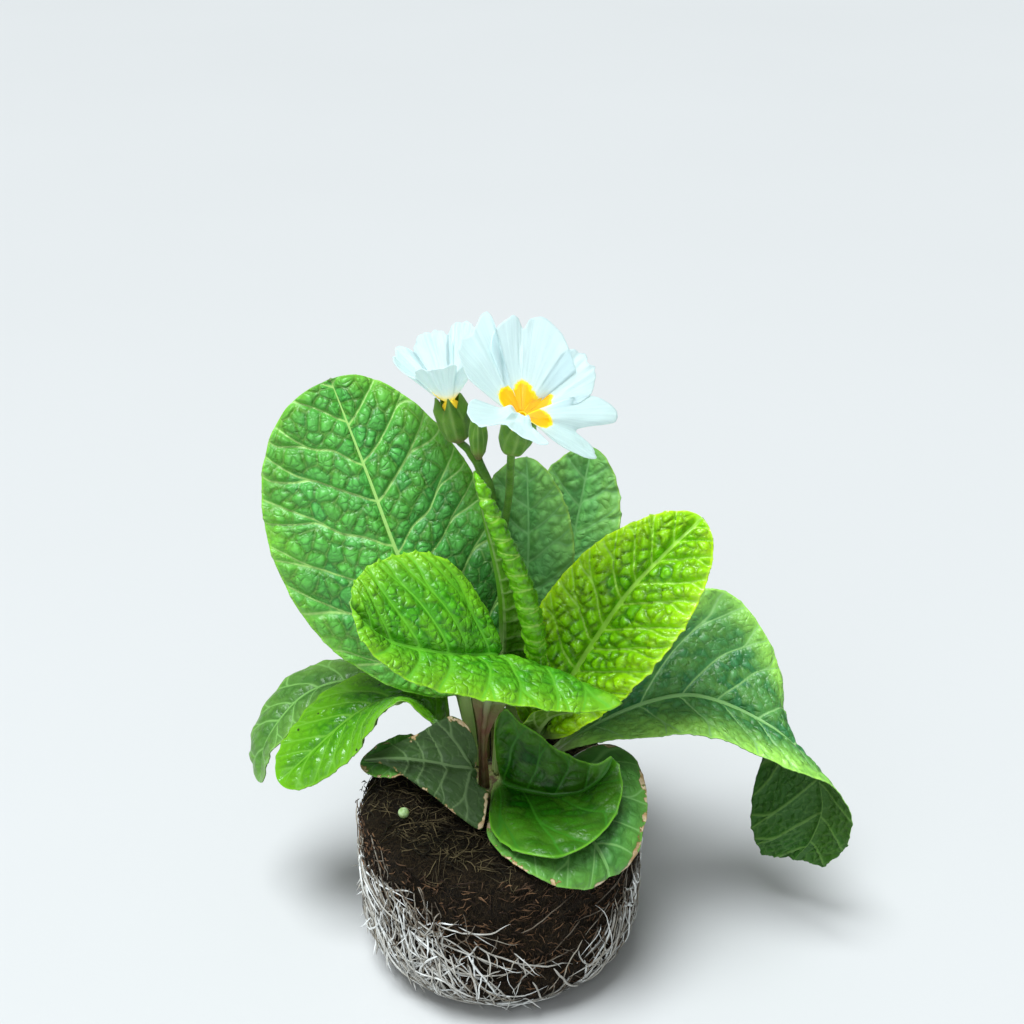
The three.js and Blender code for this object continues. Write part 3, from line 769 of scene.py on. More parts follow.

# %% The blade's colour
# Painted shade: in the grooves of the net and of the finest wrinkles the blade is mixed towards the deep
# green, for the shadow that falls there.
valley = group.product(group.near("wall", 0.1, 1.3), group.step(closest, 0.3, 1.6, 0.45, 0.9))
hollow = group.step(to_middle, 0.55, 0.98, 0.0, 0.4)
painted_groove_shade = group.product(group.math("MAXIMUM", valley, hollow), group.mask("blade"))
blade = group.mix(group.step(cloud, 0.3, 0.68, 0.35, 0.0), given["Blade"], given["Deep"])
blade = group.mix(painted_groove_shade, blade, given["Deep"])
uneven = group.step(cloud, 0.3, 0.6, 0.35, 1.15)
toward_margin = group.product(group.near("margin", 0.5, 13.0), given["Margin Share"], uneven)
blade = group.mix(toward_margin, blade, given["Margin"])
blade = group.mix(group.product(group.mask("tone"), 0.22), blade, given["Margin"])
# Painted shade: on the right half near the stalk the blade is mixed towards the deep green, for the shadow of
# the younger leaves above.
right_half = group.step(group.mask("rib"), 1.0, 9.0)
near_stalk = group.step(group.mask("along"), 0.42, 0.62, 1.0, 0.15)
painted_shade_share = group.product(right_half, near_stalk, given["Shaded"])
blade = group.mix(painted_shade_share, blade, given["Deep"])
blade = group.mix(group.step(fine, 0.45, 0.75, 0.0, 0.12), blade, given["Deep"])
blade = group.mix(group.product(is_wall, given["Wall Share"]), blade, given["Vein"])
blade = group.mix(is_vein, blade, given["Vein"])
rim_line = group.product(group.near("margin", 0.1, 1.1), 0.8)
blade = group.mix(rim_line, blade, given["Margin"])
blade = group.mix(group.product(group.mask("tip"), 0.9), blade, given["Vein"])
blade = group.mix(is_rib, blade, given["Vein"])
print("with the blade's colour:", len(group.tree.nodes), "nodes")

# %% The underside, the stalk and the gloss
under = group.mix(group.step(cloud, 0.3, 0.7, 0.0, 0.35), given["Under"], given["Deep"])
under = group.mix(group.product(is_wall, 0.22), under, given["Under Vein"])
ribs = group.product(group.math("MAXIMUM", is_vein, is_rib), 0.6)
under = group.mix(ribs, under, given["Under Vein"])
whole = group.mix(group.mask("under"), blade, under)
streak = group.step(group.noise(3.5, 2), 0.35, 0.7, 0.8, 1.0)
whole = group.mix(group.product(group.mask("stalk"), streak), whole, given["Stalk"])
group.feed(result["Colour"], whole)
dull = group.product(group.mask("under"), 0.25)
uneven = group.step(cloud, 0.3, 0.7, 0.06, -0.05)
group.feed(result["Roughness"], group.math("ADD", group.math("ADD", given["Rough"], dull), uneven))
smooth_rib = group.step(across_rib, 0.9, 1.6)
off_vein = group.step(closest, 0.2, 1.2)
crumple = group.product(wrinkle, given["Crumple"], smooth_rib, group.mask("blade"), off_vein)
group.feed(result["Height"], group.math("ADD", crumple, group.product(fine, 0.08)))
print("leaf colour group:", len(group.tree.nodes), "nodes")

# %% [markdown]
# ## Damage on old leaves
#
# The oldest leaves lie on the peat. Their rims have dried to tan and buff in ragged patches,
# and small specks dot them. Real damage eats in from the margin here and there, so a cloud of
# noise is added to the nearness of the margin and only what passes a limit is tan. Two limits
# close together give the darker brown line round each dry patch.

# %% Damage group
DAMAGE_INPUTS = {"Colour": "colour", "Amount": "number", "Specks": "number", "Speck": "colour"}
group, given, result = new_group("leaf damage", DAMAGE_INPUTS, {"Colour": "colour"})
near_rim = group.near("margin", 0.0, 5.0)
ragged = group.product(near_rim, group.step(group.noise(11, 4, 0.65), 0.4, 0.66))
limit = group.math("SUBTRACT", 1.0, given["Amount"])
over = group.math("SUBTRACT", ragged, limit)
ring = group.step(over, 0.005, 0.06)
dry = group.step(over, 0.07, 0.14)
mottle = group.step(group.noise(2.5, 3), 0.3, 0.7)
tan = group.mix(mottle, rgb(0.42, 0.26, 0.10), rgb(0.80, 0.66, 0.44))
marked = group.mix(ring, given["Colour"], rgb(0.20, 0.15, 0.03))
marked = group.mix(dry, marked, tan)
dots = group.cells(6.5, "F1")
dot = group.product(group.step(dots, 0.05, 0.085, 1.0, 0.0), given["Specks"])
group.feed(result["Colour"], group.mix(dot, marked, given["Speck"]))
print("damage group:", len(group.tree.nodes), "nodes")

# %% [markdown]
# ## Leaf finishes
#
# The finishes are a table: one row for each kind of leaf, with six colours and whatever differs
# from the usual values. Grown leaves are a full green, young ones yellow green and glossier, old
# ones duller and damaged. Light goes a little way into a leaf and comes out again, so each has
# some subsurface scattering, half a millimetre deep.

# %% The recipe for a leaf finish
GREEN_STALK = rgb(0.40, 0.52, 0.18)
RED_STALK = rgb(0.16, 0.07, 0.035)
USUAL_VALUES = {
    "under_vein": rgb(0.42, 0.55, 0.28), "margin_share": 0.4, "wall_share": 0.1, "rough": 0.36,
    "crumple": 0.2, "shaded": 0.0,
}


def leaf_finish(name, colours, gloss=0.5, damage=0.0, specks=0.0, speck=rgb(0.02, 0.02, 0.01), **others):
    """A leaf material: the two shared groups with this leaf's colours and values."""
    material, wiring, shader = new_material(name, IOR=1.45, Specular_IOR_Level=gloss)
    shader["Subsurface Weight"].default_value = 0.06
    shader["Subsurface Scale"].default_value = 0.5 * MM
    shader["Subsurface Radius"].default_value = (0.6, 1.0, 0.2)
    values = dict(zip(("Blade", "Deep", "Margin", "Vein", "Under", "Stalk"), colours))
    values.update({key.replace("_", " ").title(): value for key, value in {**USUAL_VALUES, **others}.items()})
    coloured = use_group(wiring, "leaf colour", values)
    marks = {"Colour": coloured["Colour"], "Amount": damage, "Specks": specks, "Speck": speck}
    wiring.feed(shader["Base Color"], use_group(wiring, "leaf damage", marks)["Colour"])
    wiring.feed(shader["Roughness"], coloured["Roughness"])
    bump(wiring, shader, coloured["Height"], 1.0)
    return material


print("usual values:", USUAL_VALUES)

# %% Finishes of the upright leaves
# The colours of each: blade, deep green (also the painted shade in the grooves), margin, veins,
# underside and stalk.
broad_finish = leaf_finish(
    "broad leaf",
    # The blade green is light and a little blue: partly the leaf's own colour and partly a painted sheen of
    # the sky on its wrinkles.
    (rgb(0.13, 0.60, 0.11), rgb(0.005, 0.10, 0.003), rgb(0.24, 0.64, 0.03),
     rgb(0.40, 0.70, 0.18), rgb(0.16, 0.27, 0.08), GREEN_STALK),
    # The most painted shade on the right half near the stalk, for the shadow of the younger leaves:
    margin_share=0.5, wall_share=0.25, rough=0.38, crumple=0.4, shaded=0.75)
fresh_finish = leaf_finish(
    "fresh leaf",
    (rgb(0.11, 0.52, 0.018), rgb(0.012, 0.17, 0.002), rgb(0.32, 0.70, 0.02),
     rgb(0.15, 0.52, 0.03), rgb(0.20, 0.38, 0.06), RED_STALK),
    margin_share=0.45, wall_share=0.05, crumple=0.5)
young_finish = leaf_finish(
    "young leaf",
    (rgb(0.29, 0.86, 0.004), rgb(0.008, 0.14, 0.0), rgb(0.58, 0.95, 0.008),
     rgb(0.40, 0.74, 0.08), rgb(0.10, 0.24, 0.006), GREEN_STALK),
    wall_share=0.12, rough=0.25, crumple=0.3, under_vein=rgb(0.34, 0.52, 0.16))
curled_finish = leaf_finish(
    "curled leaf",
    (rgb(0.17, 0.66, 0.008), rgb(0.008, 0.13, 0.0), rgb(0.30, 0.76, 0.01),
     rgb(0.36, 0.70, 0.08), rgb(0.13, 0.38, 0.004), GREEN_STALK),
    margin_share=0.3, rough=0.28, crumple=0.3, under_vein=rgb(0.34, 0.52, 0.16))
print("so far:", broad_finish.name, fresh_finish.name, young_finish.name, curled_finish.name)

# %% Finishes of the other leaves
# Again blade, deep green (also the painted shade in the grooves), margin, veins, underside and
# stalk.
# The dark leaf's lime margin and rim line are partly its own paler rim and partly a painted highlight where
# light catches the edge.
dark_finish = leaf_finish(
    "dark leaf",
    (rgb(0.005, 0.11, 0.001), rgb(0.002, 0.035, 0.0), rgb(0.18, 0.50, 0.03),
     rgb(0.04, 0.20, 0.012), rgb(0.09, 0.19, 0.03), GREEN_STALK),
    margin_share=0.22, wall_share=0.05, rough=0.3, crumple=0.15, gloss=0.3)
# The cool leaf's pale margin green reaches far in: partly its own paler margin and partly painted light on
# its near band, which the leaves above put in shade.
cool_finish = leaf_finish(
    "cool leaf",
    (rgb(0.065, 0.31, 0.11), rgb(0.015, 0.13, 0.02), rgb(0.42, 0.86, 0.12),
     rgb(0.28, 0.56, 0.18), rgb(0.030, 0.115, 0.0), GREEN_STALK),
    margin_share=0.75, rough=0.38, crumple=0.35, under_vein=rgb(0.14, 0.30, 0.05))
soft_finish = leaf_finish(
    "soft leaf",
    (rgb(0.20, 0.56, 0.17), rgb(0.08, 0.32, 0.07), rgb(0.32, 0.60, 0.08),
     rgb(0.24, 0.56, 0.18), rgb(0.09, 0.20, 0.02), GREEN_STALK),
    margin_share=0.3, wall_share=0.15, rough=0.44, crumple=0.25)
old_finish = leaf_finish(
    "old leaf",
    (rgb(0.10, 0.33, 0.07), rgb(0.025, 0.13, 0.015), rgb(0.18, 0.44, 0.05),
     rgb(0.20, 0.45, 0.12), rgb(0.14, 0.22, 0.08), GREEN_STALK),
    margin_share=0.3, rough=0.38, damage=0.6, specks=0.8, speck=rgb(0.6, 0.65, 0.5))
turned_finish = leaf_finish(
    "turned leaf",
    (rgb(0.028, 0.14, 0.020), rgb(0.015, 0.06, 0.007), rgb(0.10, 0.24, 0.03),
     rgb(0.16, 0.32, 0.08), rgb(0.036, 0.088, 0.014), GREEN_STALK),
    wall_share=0.3, damage=0.45, under_vein=rgb(0.15, 0.25, 0.09))
pale_finish = leaf_finish(
    "pale leaf",
    (rgb(0.10, 0.29, 0.05), rgb(0.02, 0.11, 0.006), rgb(0.20, 0.42, 0.06),
     rgb(0.20, 0.44, 0.10), rgb(0.03, 0.10, 0.004), GREEN_STALK))
low_finish = leaf_finish(
    "low leaf",
    (rgb(0.09, 0.38, 0.005), rgb(0.015, 0.15, 0.001), rgb(0.19, 0.50, 0.01),
     rgb(0.15, 0.42, 0.03), rgb(0.2, 0.34, 0.06), GREEN_STALK),
    margin_share=0.45, wall_share=0.03, rough=0.26, specks=0.9)
print("leaf finishes:", [m.name for m in bpy.data.materials if "leaf" in m.name])

# %% [markdown]
# ## The rosette
#
# Each leaf has its own routes in millimetres, and its own pitch of veins, size of cell and depth
# of quilting. Young leaves are puckered hard, old ones have flattened out. The
# step is the distance between two points of the grid: small where the leaf is near and its cells
# are fine, wider at the back, so that the whole plant stays under a million triangles.

# %% Leaves at the back
leaf(
    "leaf_back_left", broad_finish, "grown_leaf",
    spine=[[-8, 7.5, 62], [-13, 9, 95], [-29, 13, 131], [-40, 23, 159], [-51, 35, 185]],
    face=[[0.1, -0.9, 0.3], [0.06, -0.9, 0.45], [0.05, -0.9, 0.5]],
    belly=[0.56, 0.44], blunt=[0.38, 0.42], width=[36.5, 32.5], fold=[[-6, -10, -12], [-2, -5, -12]],
    pitch=13.5, slant=[0.35, 0.8], cell=5.0, puff=1.0, swell=1.2, ruffle=1.0, tooth=0.3, rib=0.85,
    seed=3, step=0.62,
)
leaf(
    "leaf_back_dark", soft_finish, "grown_leaf",
    spine=[[2, 15, 62], [6, 22, 98], [9, 27, 128], [8.5, 31, 160.5]],
    face=[[-0.05, -0.9, 0.3], [-0.1, -0.9, 0.4]],
    belly=[0.6, 0.6], width=[18, 15], fold=[[0, -5], [15, 10]],
    pitch=9, cell=3.8, puff=0.8, swell=0.4, rib=0.5, seed=5, step=0.75,
)
leaf(
    "leaf_back_right", soft_finish, "grown_leaf",
    spine=[[8, 14, 62], [16, 30, 95], [23.5, 41, 125], [29.5, 48, 156]],
    face=[[0, -0.9, 0.3], [-0.1, -0.9, 0.4]],
    belly=[0.6, 0.6], width=[18, 15], fold=[[15, 10], [15, 10]],
    pitch=9, cell=3.8, puff=0.6, swell=0.4, rib=0.5, seed=6, step=0.75,
)
REAR_SPINES = (
    ("left", -1, 7, [[-8, 19, 60], [-16, 36, 84], [-26, 54, 90], [-36, 74, 78]]),
    ("right", 1, 8, [[4, 19, 60], [12, 37, 80], [26, 55, 86], [42, 70, 72]]),
)
for side, sign, seed, spine in REAR_SPINES:
    leaf(
        "leaf_rear_" + side, broad_finish, "grown_leaf",
        spine=spine, face=[[0, -0.5, 0.9], [0, 0, 1], [0.2 * sign, 0.4, 0.9]],
        stalk=0.25, width=[23 - sign, 23 + sign], fold=[[20, 10, 5], [20, 10, 5]],
        puff=0.8, ruffle=1.6, seed=seed, step=0.85,
    )

# %% Leaves in the middle
leaf(
    "leaf_young_curled", curled_finish, "young_leaf",
    spine=[[-1, 4, 62], [1, 5, 95], [2, 1, 121], [0, -1, 141], [-7, -1, 171]],
    face=[[0, 0.95, 0], [-0.1, 0.9, 0], [-0.2, 0.9, -0.1]],
    stalk=0.25, belly=[0.34, 0.5], blunt=[0.42, 0.5], width=[24, 1.5],
    fold=[[0, 0, -30, -60], [40, 40, 40, 40]], roll=[[-190, -250, -280, -300], [0, 0, 0, 0]],
    roll_power=2.5,
    pitch=6, slant=[0.1, 0.3], cell=2.6, puff=0.9, swell=0.3, ruffle=0.7, rib=0.5, seed=9, step=0.66,
)
leaf(
    "leaf_right_bright", young_finish, "young_leaf",
    spine=[[7, 3, 62], [16, 5, 82], [23, 7, 97], [38, 9, 123], [51, 13, 137], [62, 18, 146]],
    face=[[-0.3, -0.8, 0.5], [-0.35, -0.75, 0.55], [-0.3, -0.7, 0.6]],
    stalk=0.15, belly=[0.42, 0.55], width=[20, 23], fold=[[25, 15, 10], [25, 15, 5]],
    pitch=8.5, slant=[0.45, 0.9], cell=3.3, stretch=1.4, puff=1.8, swell=1.6, ruffle=1.1, tooth=0.5,
    rib=0.9, seed=10, step=0.58,
)
leaf(
    "leaf_front_arching", fresh_finish, "grown_leaf",
    midrib=[[-5, -4, 62], [-5, -6, 84], [-3, -6, 100], [0, -8, 111], [0, -12, 116], [-7, -17, 119],
            [-13, -23, 123], [-21, -27, 127], [-31, -30, 132], [-38, -31, 139], [-41.5, -31, 145]],
    left=[[-3.2, -4.5, 62], [-3.2, -6.5, 84], [6, -5, 97], [22, -11, 101], [36, -21, 104], [24, -28, 106],
          [8, -33, 111], [-8, -37, 117], [-24, -41, 125], [-36, -40, 135], [-41, -34, 142.5]],
    right=[[-6.8, -4, 62], [-6.8, -6, 84], [-9, -3, 101], [-8, 0, 117], [-7, -3, 130], [-11, -4, 138],
           [-18, -5, 145], [-26, -8, 148], [-35, -15, 149], [-40, -22, 148], [-41.5, -28, 147]],
    bulge=[0.04, 0.08], widest=32, stalk=0.28,
    pitch=9, slant=[0.3, 0.9], cell=3.0, stretch=2.2, puff=0.4, swell=0.7, pleat=0.4, ruffle=0.6,
    tooth=1.2, rib=0.6, seed=11,
)

# %% Leaves that hang out
leaf(
    "leaf_right_drooping", cool_finish, "grown_leaf",
    midrib=[[10, 7, 62], [19, 8.5, 69], [30, 12, 75], [45, 16, 80], [58, 19, 81.5], [68, 19.5, 80],
            [80, 17, 76], [92, 11, 71], [101, 6, 63], [105, 4, 50], [103, 5, 36], [98, 8, 24]],
    left=[[10.2, 9, 62], [21, 13, 70], [33, 20, 81], [46, 30, 95], [62, 40, 107], [76, 41, 106],
          [87, 35, 94], [92, 28, 79], [88, 22, 61], [84.5, 18.5, 45], [84.5, 16, 31], [88, 14, 21]],
    right=[[9.8, 5, 62], [19, 4, 69.5], [31, 3, 74], [46, 2, 77], [58, 2, 78], [68, 1, 76.5],
           [80, -1, 73], [92, -4, 67.5], [104, -5, 63], [111, -6, 52], [112, -3, 38], [106, 2, 25]],
    bulge=[-0.06, -0.04], widest=34, stalk=0.08,
    pitch=14, slant=[0.5, 0.9], cell=3.4, puff=0.7, swell=0.6, ruffle=0.5, tooth=0.6, rib=0.6,
    net_rib=0.3, seed=12, step=0.75,
)
leaf(
    "leaf_left_low", low_finish, "young_leaf",
    spine=[[-12.5, 5, 62], [-21, 9, 80], [-31, 13, 86], [-46, 12, 80], [-61, 7, 68], [-71, 3.5, 59.5]],
    face=[[0, 0.2, 1], [-0.1, 0.1, 1], [-0.3, -0.3, 0.9], [-0.4, -0.5, 0.8]],
    stalk=0.15, belly=[0.46, 0.54], blunt=[0.4, 0.5], width=[15.5, 15.5],
    fold=[[24, 26, 2, -5], [20, 5, 0]],
    pitch=8, slant=[0.8, 1.6], cell=3.8, puff=0.4, swell=0.5, pleat=0.5, ruffle=0.7, rib=0.6, seed=13,
)
leaf(
    "leaf_left_arching", pale_finish, "old_leaf",
    spine=[[-12.5, 10, 62], [-26, 20, 79], [-45, 29, 82], [-64, 30, 76], [-77, 22, 63], [-79, 16, 50]],
    face=[[0, 0.7, 0.7], [-0.1, 0.5, 0.85], [-0.35, -0.1, 0.9], [-0.75, -0.35, 0.5]],
    stalk=0.25, blunt=[0.4, 0.4], width=[10.5, 12], fold=[[-20, -20, 10], [20, 10, 0]],
    pitch=9, puff=0.4, ruffle=0.8, rib=0.6, seed=14,
)

# %% Leaves on the peat
leaf(
    "leaf_turned_over", turned_finish, "old_leaf",
    midrib=[[-10.5, -4, 62], [-9.5, -8, 67], [-8.5, -11, 72], [-10, -12, 75.5], [-14, -11, 75.5],
            [-18.6, -8.5, 75], [-25, -4.5, 73.3], [-31.4, -1.5, 71.6], [-38, 2.5, 68.8], [-43, 5, 66.6]],
    left=[[-10.5, -3.2, 63], [-8.5, -7.5, 70], [-7, -11, 80], [-9.8, -8.5, 88], [-14.8, -5, 89.5],
          [-19.8, -2.6, 85.5], [-25, -0.6, 80.5], [-32.5, 3, 74.1], [-39, 4.5, 69.5], [-43.5, 5.5, 67.3]],
    right=[[-10.5, -4.8, 61.2], [-7, -10, 64], [-4, -15, 68.5], [-4, -19.5, 65.5], [-6, -24, 60.8],
           [-14, -18, 62.5], [-21, -11.5, 64.5], [-28, -5, 65.5], [-36, 1.5, 66.8], [-42.5, 4.5, 66]],
    bulge=[0.06, 0.1], widest=17, stalk=0.12,
    pitch=8, cell=4.2, puff=0.25, swell=0.3, ruffle=0.3, tooth=0.3, rib=0.35, seed=15,
)
leaf(
    "leaf_left_old", old_finish, "old_leaf",
    spine=[[-13.8, -0.5, 62], [-20, 1.8, 65.2], [-30, 7, 65.5], [-45, 10, 62]],
    face=[[0, -0.2, 1], [0, -0.2, 1], [-0.2, -0.2, 1]],
    stalk=0.12, width=[9, 9], fold=[[10, 10, 0], [10, 10, 0]],
    pitch=8, puff=0.3, ruffle=0.6, seed=16,
)
leaf(
    "leaf_front_cupped", dark_finish, "grown_leaf",
    midrib=[[-1, -6, 66], [1, -7, 66], [4, -9, 66], [8, -11, 66], [12.5, -12.5, 66], [17, -13.5, 66],
            [21, -13.5, 66.5], [25, -13, 67], [28.5, -11.5, 68.5], [32, -9.5, 71], [35, -7, 75]],
    left=[[0, -5, 66.5], [-1, -4.5, 75], [-1.5, -4.5, 85], [1.5, -4.5, 92], [6, -5, 87.2], [12, -5.5, 83.3],
          [16, -6, 79], [20, -6.5, 77], [24, -7, 74.7], [30, -7.5, 73.3], [34.5, -6.5, 75.5]],
    right=[[-2, -7, 65.6], [-3, -13, 65], [-3.5, -22, 64.6], [-2, -30, 64.3], [2, -36, 64], [8, -40.5, 64],
           [16, -42, 64], [25, -38, 64.6], [33, -29, 66], [37.5, -18, 69.5], [37, -9.5, 74.5]],
    bulge=[-0.08, 0.04], widest=30, stalk=0.02,
    pitch=10, cell=4.2, puff=0.45, swell=0.7, ruffle=0.5, tooth=0.8, rib=0.6, seed=17,
)
leaf(
    "leaf_front_old", old_finish, "old_leaf",
    midrib=[[4, -5.5, 61.6], [8, -8.5, 61.6], [13, -12, 61.6], [18, -17, 61.6], [23, -22, 61.5],
            [27, -27, 60.8], [30, -31.5, 58.8], [32.5, -35, 55], [33, -36, 52]],
    left=[[5, -5, 61.7], [16, 2, 63], [31, 11, 67], [42, 7, 66.5], [45.5, -2, 64],
           [46, -12, 61.5], [44.5, -20, 59], [41.5, -28.5, 54.5], [36, -34, 51.5]],
    right=[[3, -6.5, 61.6], [-2, -14, 61.3], [-4, -24, 61.2], [-1, -34, 60.8], [5, -40.5, 60],
          [12, -43.8, 57.5], [19, -44, 54.5], [26, -41, 51.5], [30, -38.3, 51]],
    bulge=[0.03, 0], widest=28, stalk=0.05,
    pitch=11, cell=4.4, puff=0.25, swell=0.4, ruffle=0.4, tooth=0.5, seed=18,
)
leaf(
    "leaf_front_small", young_finish, "young_leaf",
    spine=[[3.5, -1.5, 62], [9, -0.5, 76], [15, -1, 87], [23, -4.5, 91]],
    face=[[-0.3, 0.7, 0.6], [-0.3, 0.7, 0.6]],
    stalk=0.1, belly=[0.6, 0.6], blunt=[0.6, 0.6], width=[6, 7], fold=[[10, 10], [10, 10]],
    pitch=6, cell=3.2, puff=0.5, seed=19,
)

# %% [markdown]
# ## Tubes
#
# Stems, roots and fibres are all tubes along a route. A tube needs a pair of directions across
# its route at every step. They come from the route's own direction and one fixed direction that
# the route never runs along, which keeps a tube from twisting. Hundreds of roots are made in
# one go, as one mesh of separate closed tubes, because a mesh for each would be slow to draw.

# %% Tubes along routes
def strands(routes, radii, sides, away):
    """Closed tubes along many routes at once. away is a direction that no route runs along."""
    count, steps = routes.shape[:2]
    along = unit(np.gradient(routes, axis=1))
    across = unit(np.cross(along, away))
    over = np.cross(across, along)
    turn = np.arange(sides) * 2 * np.pi / sides
    ring = across[:, :, None] * np.cos(turn)[:, None] + over[:, :, None] * np.sin(turn)[:, None]
    points = routes[:, :, None] + ring * radii[:, :, None, None]
    wall = grid_faces(steps, sides, wrap=True)
    faces = []
    for index in range(count):
        start = index * steps * sides
        faces += (wall + start).tolist()
        faces.append([start + side for side in range(sides)][::-1])
        faces.append([start + (steps - 1) * sides + side for side in range(sides)])
    return points.reshape(-1, 3), faces


def join_parts(*parts):
    """Puts several lists of points and faces into one mesh, with their masks."""
    points, faces, masks, count = [], [], {}, 0
    for part_points, part_faces, part_masks in parts:
        faces += [[index + count for index in face] for face in part_faces]
        count += len(part_points)
        points.append(part_points)
        for name, values in part_masks.items():
            masks.setdefault(name, []).append(np.broadcast_to(values, (len(part_points),)))
    return np.vstack(points), faces, {name: np.concatenate(values) for name, values in masks.items()}


def closed_tube(outer, inner):
    """Two like grids that wrap round, closed at both ends into one thin wall."""
    rows, columns = outer.shape[:2]
    count = rows * columns
    first, last = np.arange(columns), np.arange(columns) + count - columns
    bottom = np.stack([first, first + count, np.roll(first, -1) + count, np.roll(first, -1)], axis=-1)
    top = np.stack([last, np.roll(last, -1), np.roll(last, -1) + count, last + count], axis=-1)
    faces = np.vstack([
        grid_faces(rows, columns, wrap=True), grid_faces(rows, columns, count, True, True), bottom, top])
    return np.vstack([outer.reshape(-1, 3), inner.reshape(-1, 3)]), faces.tolist()


print("tubes ready")

# %% [markdown]
# ## Flower parts
#
# A primrose flower is one piece: a narrow tube that opens into five notched petals. Round the
# lower tube sits the calyx, a ribbed green cup with five points. Both are built in the flower's
# own frame, where height runs along its axis. Each petal is its own thin sheet that overlaps
# the next one a little. No two petals are alike, so each is spanned from the tube's mouth to
# five places on its rim: an edge, a lobe, the notch, the other lobe and the other edge, each
# with its azimuth in degrees, its distance from the axis and its height.
#
# Petals built one by one would gape at the throat. So near it they all follow one common slope,
# the average of all the rims that lie that way, and each takes up its own heights further out.
# Each petal is tipped a little as well, so that one edge lies over its neighbour and the other
# edge under the next one, as petals do that open from a twisted bud. Soft folds, a crease down
# the middle and a fluttering rim are added on top.

# %% A flower's own frame
def flower_frame(throat, axis):
    """Turns radius, azimuth and height round a flower's axis into places."""
    out = unit(np.array(axis, float))
    east = unit(np.cross((0, 1, 0), out))
    north = np.cross(out, east)

    def place(radius, azimuth, height):
        radius, azimuth, height = (np.asarray(value, float)[..., None] for value in (radius, azimuth, height))
        return np.array(throat) + radius * (np.cos(azimuth) * east + np.sin(azimuth) * north) + height * out

    return place


def shared_slope(petals):
    """How steeply the flower as a whole rises in each direction, averaged from all its rims."""
    rims = np.array([place for petal in petals for place in petal[4:]], float)
    turns, slopes = np.radians(rims[:, 0]), rims[:, 2] / rims[:, 1]

    def slope_at(azimuth):
        near = np.exp(12 * (np.cos(azimuth[..., None] - turns) - 1))
        return (near * slopes).sum(-1) / near.sum(-1)

    return slope_at


print("a throat at the origin:", flower_frame((0, 0, 0), (0, 0, 1))(0, 0, 0))

# %% Petals
MOUTH_RADIUS = 1.3
PETAL_THICKNESS = 0.3
PETAL_BASE = 45         # degrees of the tube's mouth on each side of a petal's middle
PETAL_ROWS, PETAL_COLUMNS = 40, 55
NOTCH_DEPTH = 0.9       # that a petal's notch is cut past its rim places
EYE_SCALE = 30          # millimetres for which the mask "reach" is 1


def petal(place, slope_at, middle, rim, sag, lift, seed, eye):
    """One notched petal, as a thin solid with its masks."""
    share = np.linspace(0, 1, PETAL_ROWS)[:, None]
    fan = np.linspace(1, -1, PETAL_COLUMNS)
    azimuth, radius, rise = spline(rim, (fan + 1) / 2).T
    bite = NOTCH_DEPTH * np.exp(-((fan / 0.1) ** 2)) + 1.6 * np.abs(fan) ** 6
    frill = clouds(np.stack([fan * 5, fan * 0, fan * 0 + seed], axis=-1), 1, 2)
    frill = 0.6 * frill + 0.4 * clouds(np.stack([fan * 13, fan * 0, fan * 0 + seed], axis=-1), 1, 3)
    radius = radius - bite + frill
    turns = np.radians(azimuth), np.radians(middle + PETAL_BASE * fan)
    ways = [np.stack([np.cos(turn), np.sin(turn)]) for turn in turns]
    east, north = ways[0][:, None] * radius * share + ways[1][:, None] * MOUTH_RADIUS * (1 - share)
    away = np.hypot(east, north)
    around = np.arctan2(north, east)
    fan = fan[None]
    calm = 1 - 0.6 * np.abs(fan) ** 3
    common = slope_at(around) * (away - MOUTH_RADIUS)
    height = common + (rise * share - common) * smooth(share, 0.15, 0.65) * calm
    crease = -0.2 * np.exp(-((fan / 0.2) ** 2)) * smooth(share, 0.05, 0.5) * (1 - 0.5 * share)
    folds = 0.15 * np.sin(fan * 4.5 + seed) * share
    where = np.stack([fan * 2.2 + 0 * share, share * 1.8 + 0 * fan, 0 * fan * share + seed * 3.7], axis=-1)
    flutter = (1.0 * clouds(where, 1, 5) + 0.6 * clouds(where * 2.6, 1, 6)) * share**2 * (1 - fan**4)
    hollow = -sag * np.sin(np.pi * share**0.8) + 0 * fan
    shelf = lift * np.exp(-(((share - 0.2) / 0.14) ** 2)) - 0.22 * fan * smooth(share, 0.05, 0.35)
    upper = place(away, around, height + crease + folds + flutter + hollow + shelf)
    lower = upper - sheet_normals(upper) * PETAL_THICKNESS
    points, faces = thin_solid(upper, lower)
    reach = np.linalg.norm(upper - place(0, 0, 0), axis=-1) / EYE_SCALE / eye
    masks = {"reach": reach, "fan": fan, "tone": seed * 0.37}
    masks = {mask: on_both(values, upper) for mask, values in masks.items()}
    return points, faces, {**masks, "under": np.repeat([0.0, 1.0], upper[..., 0].size)}


print("petal thickness:", PETAL_THICKNESS, "mm")

# %% Corolla
TUBE_RADIUS = 2.1
TUBE_WALL = 0.5
TUBE_ROWS, TUBE_COLUMNS = 18, 40


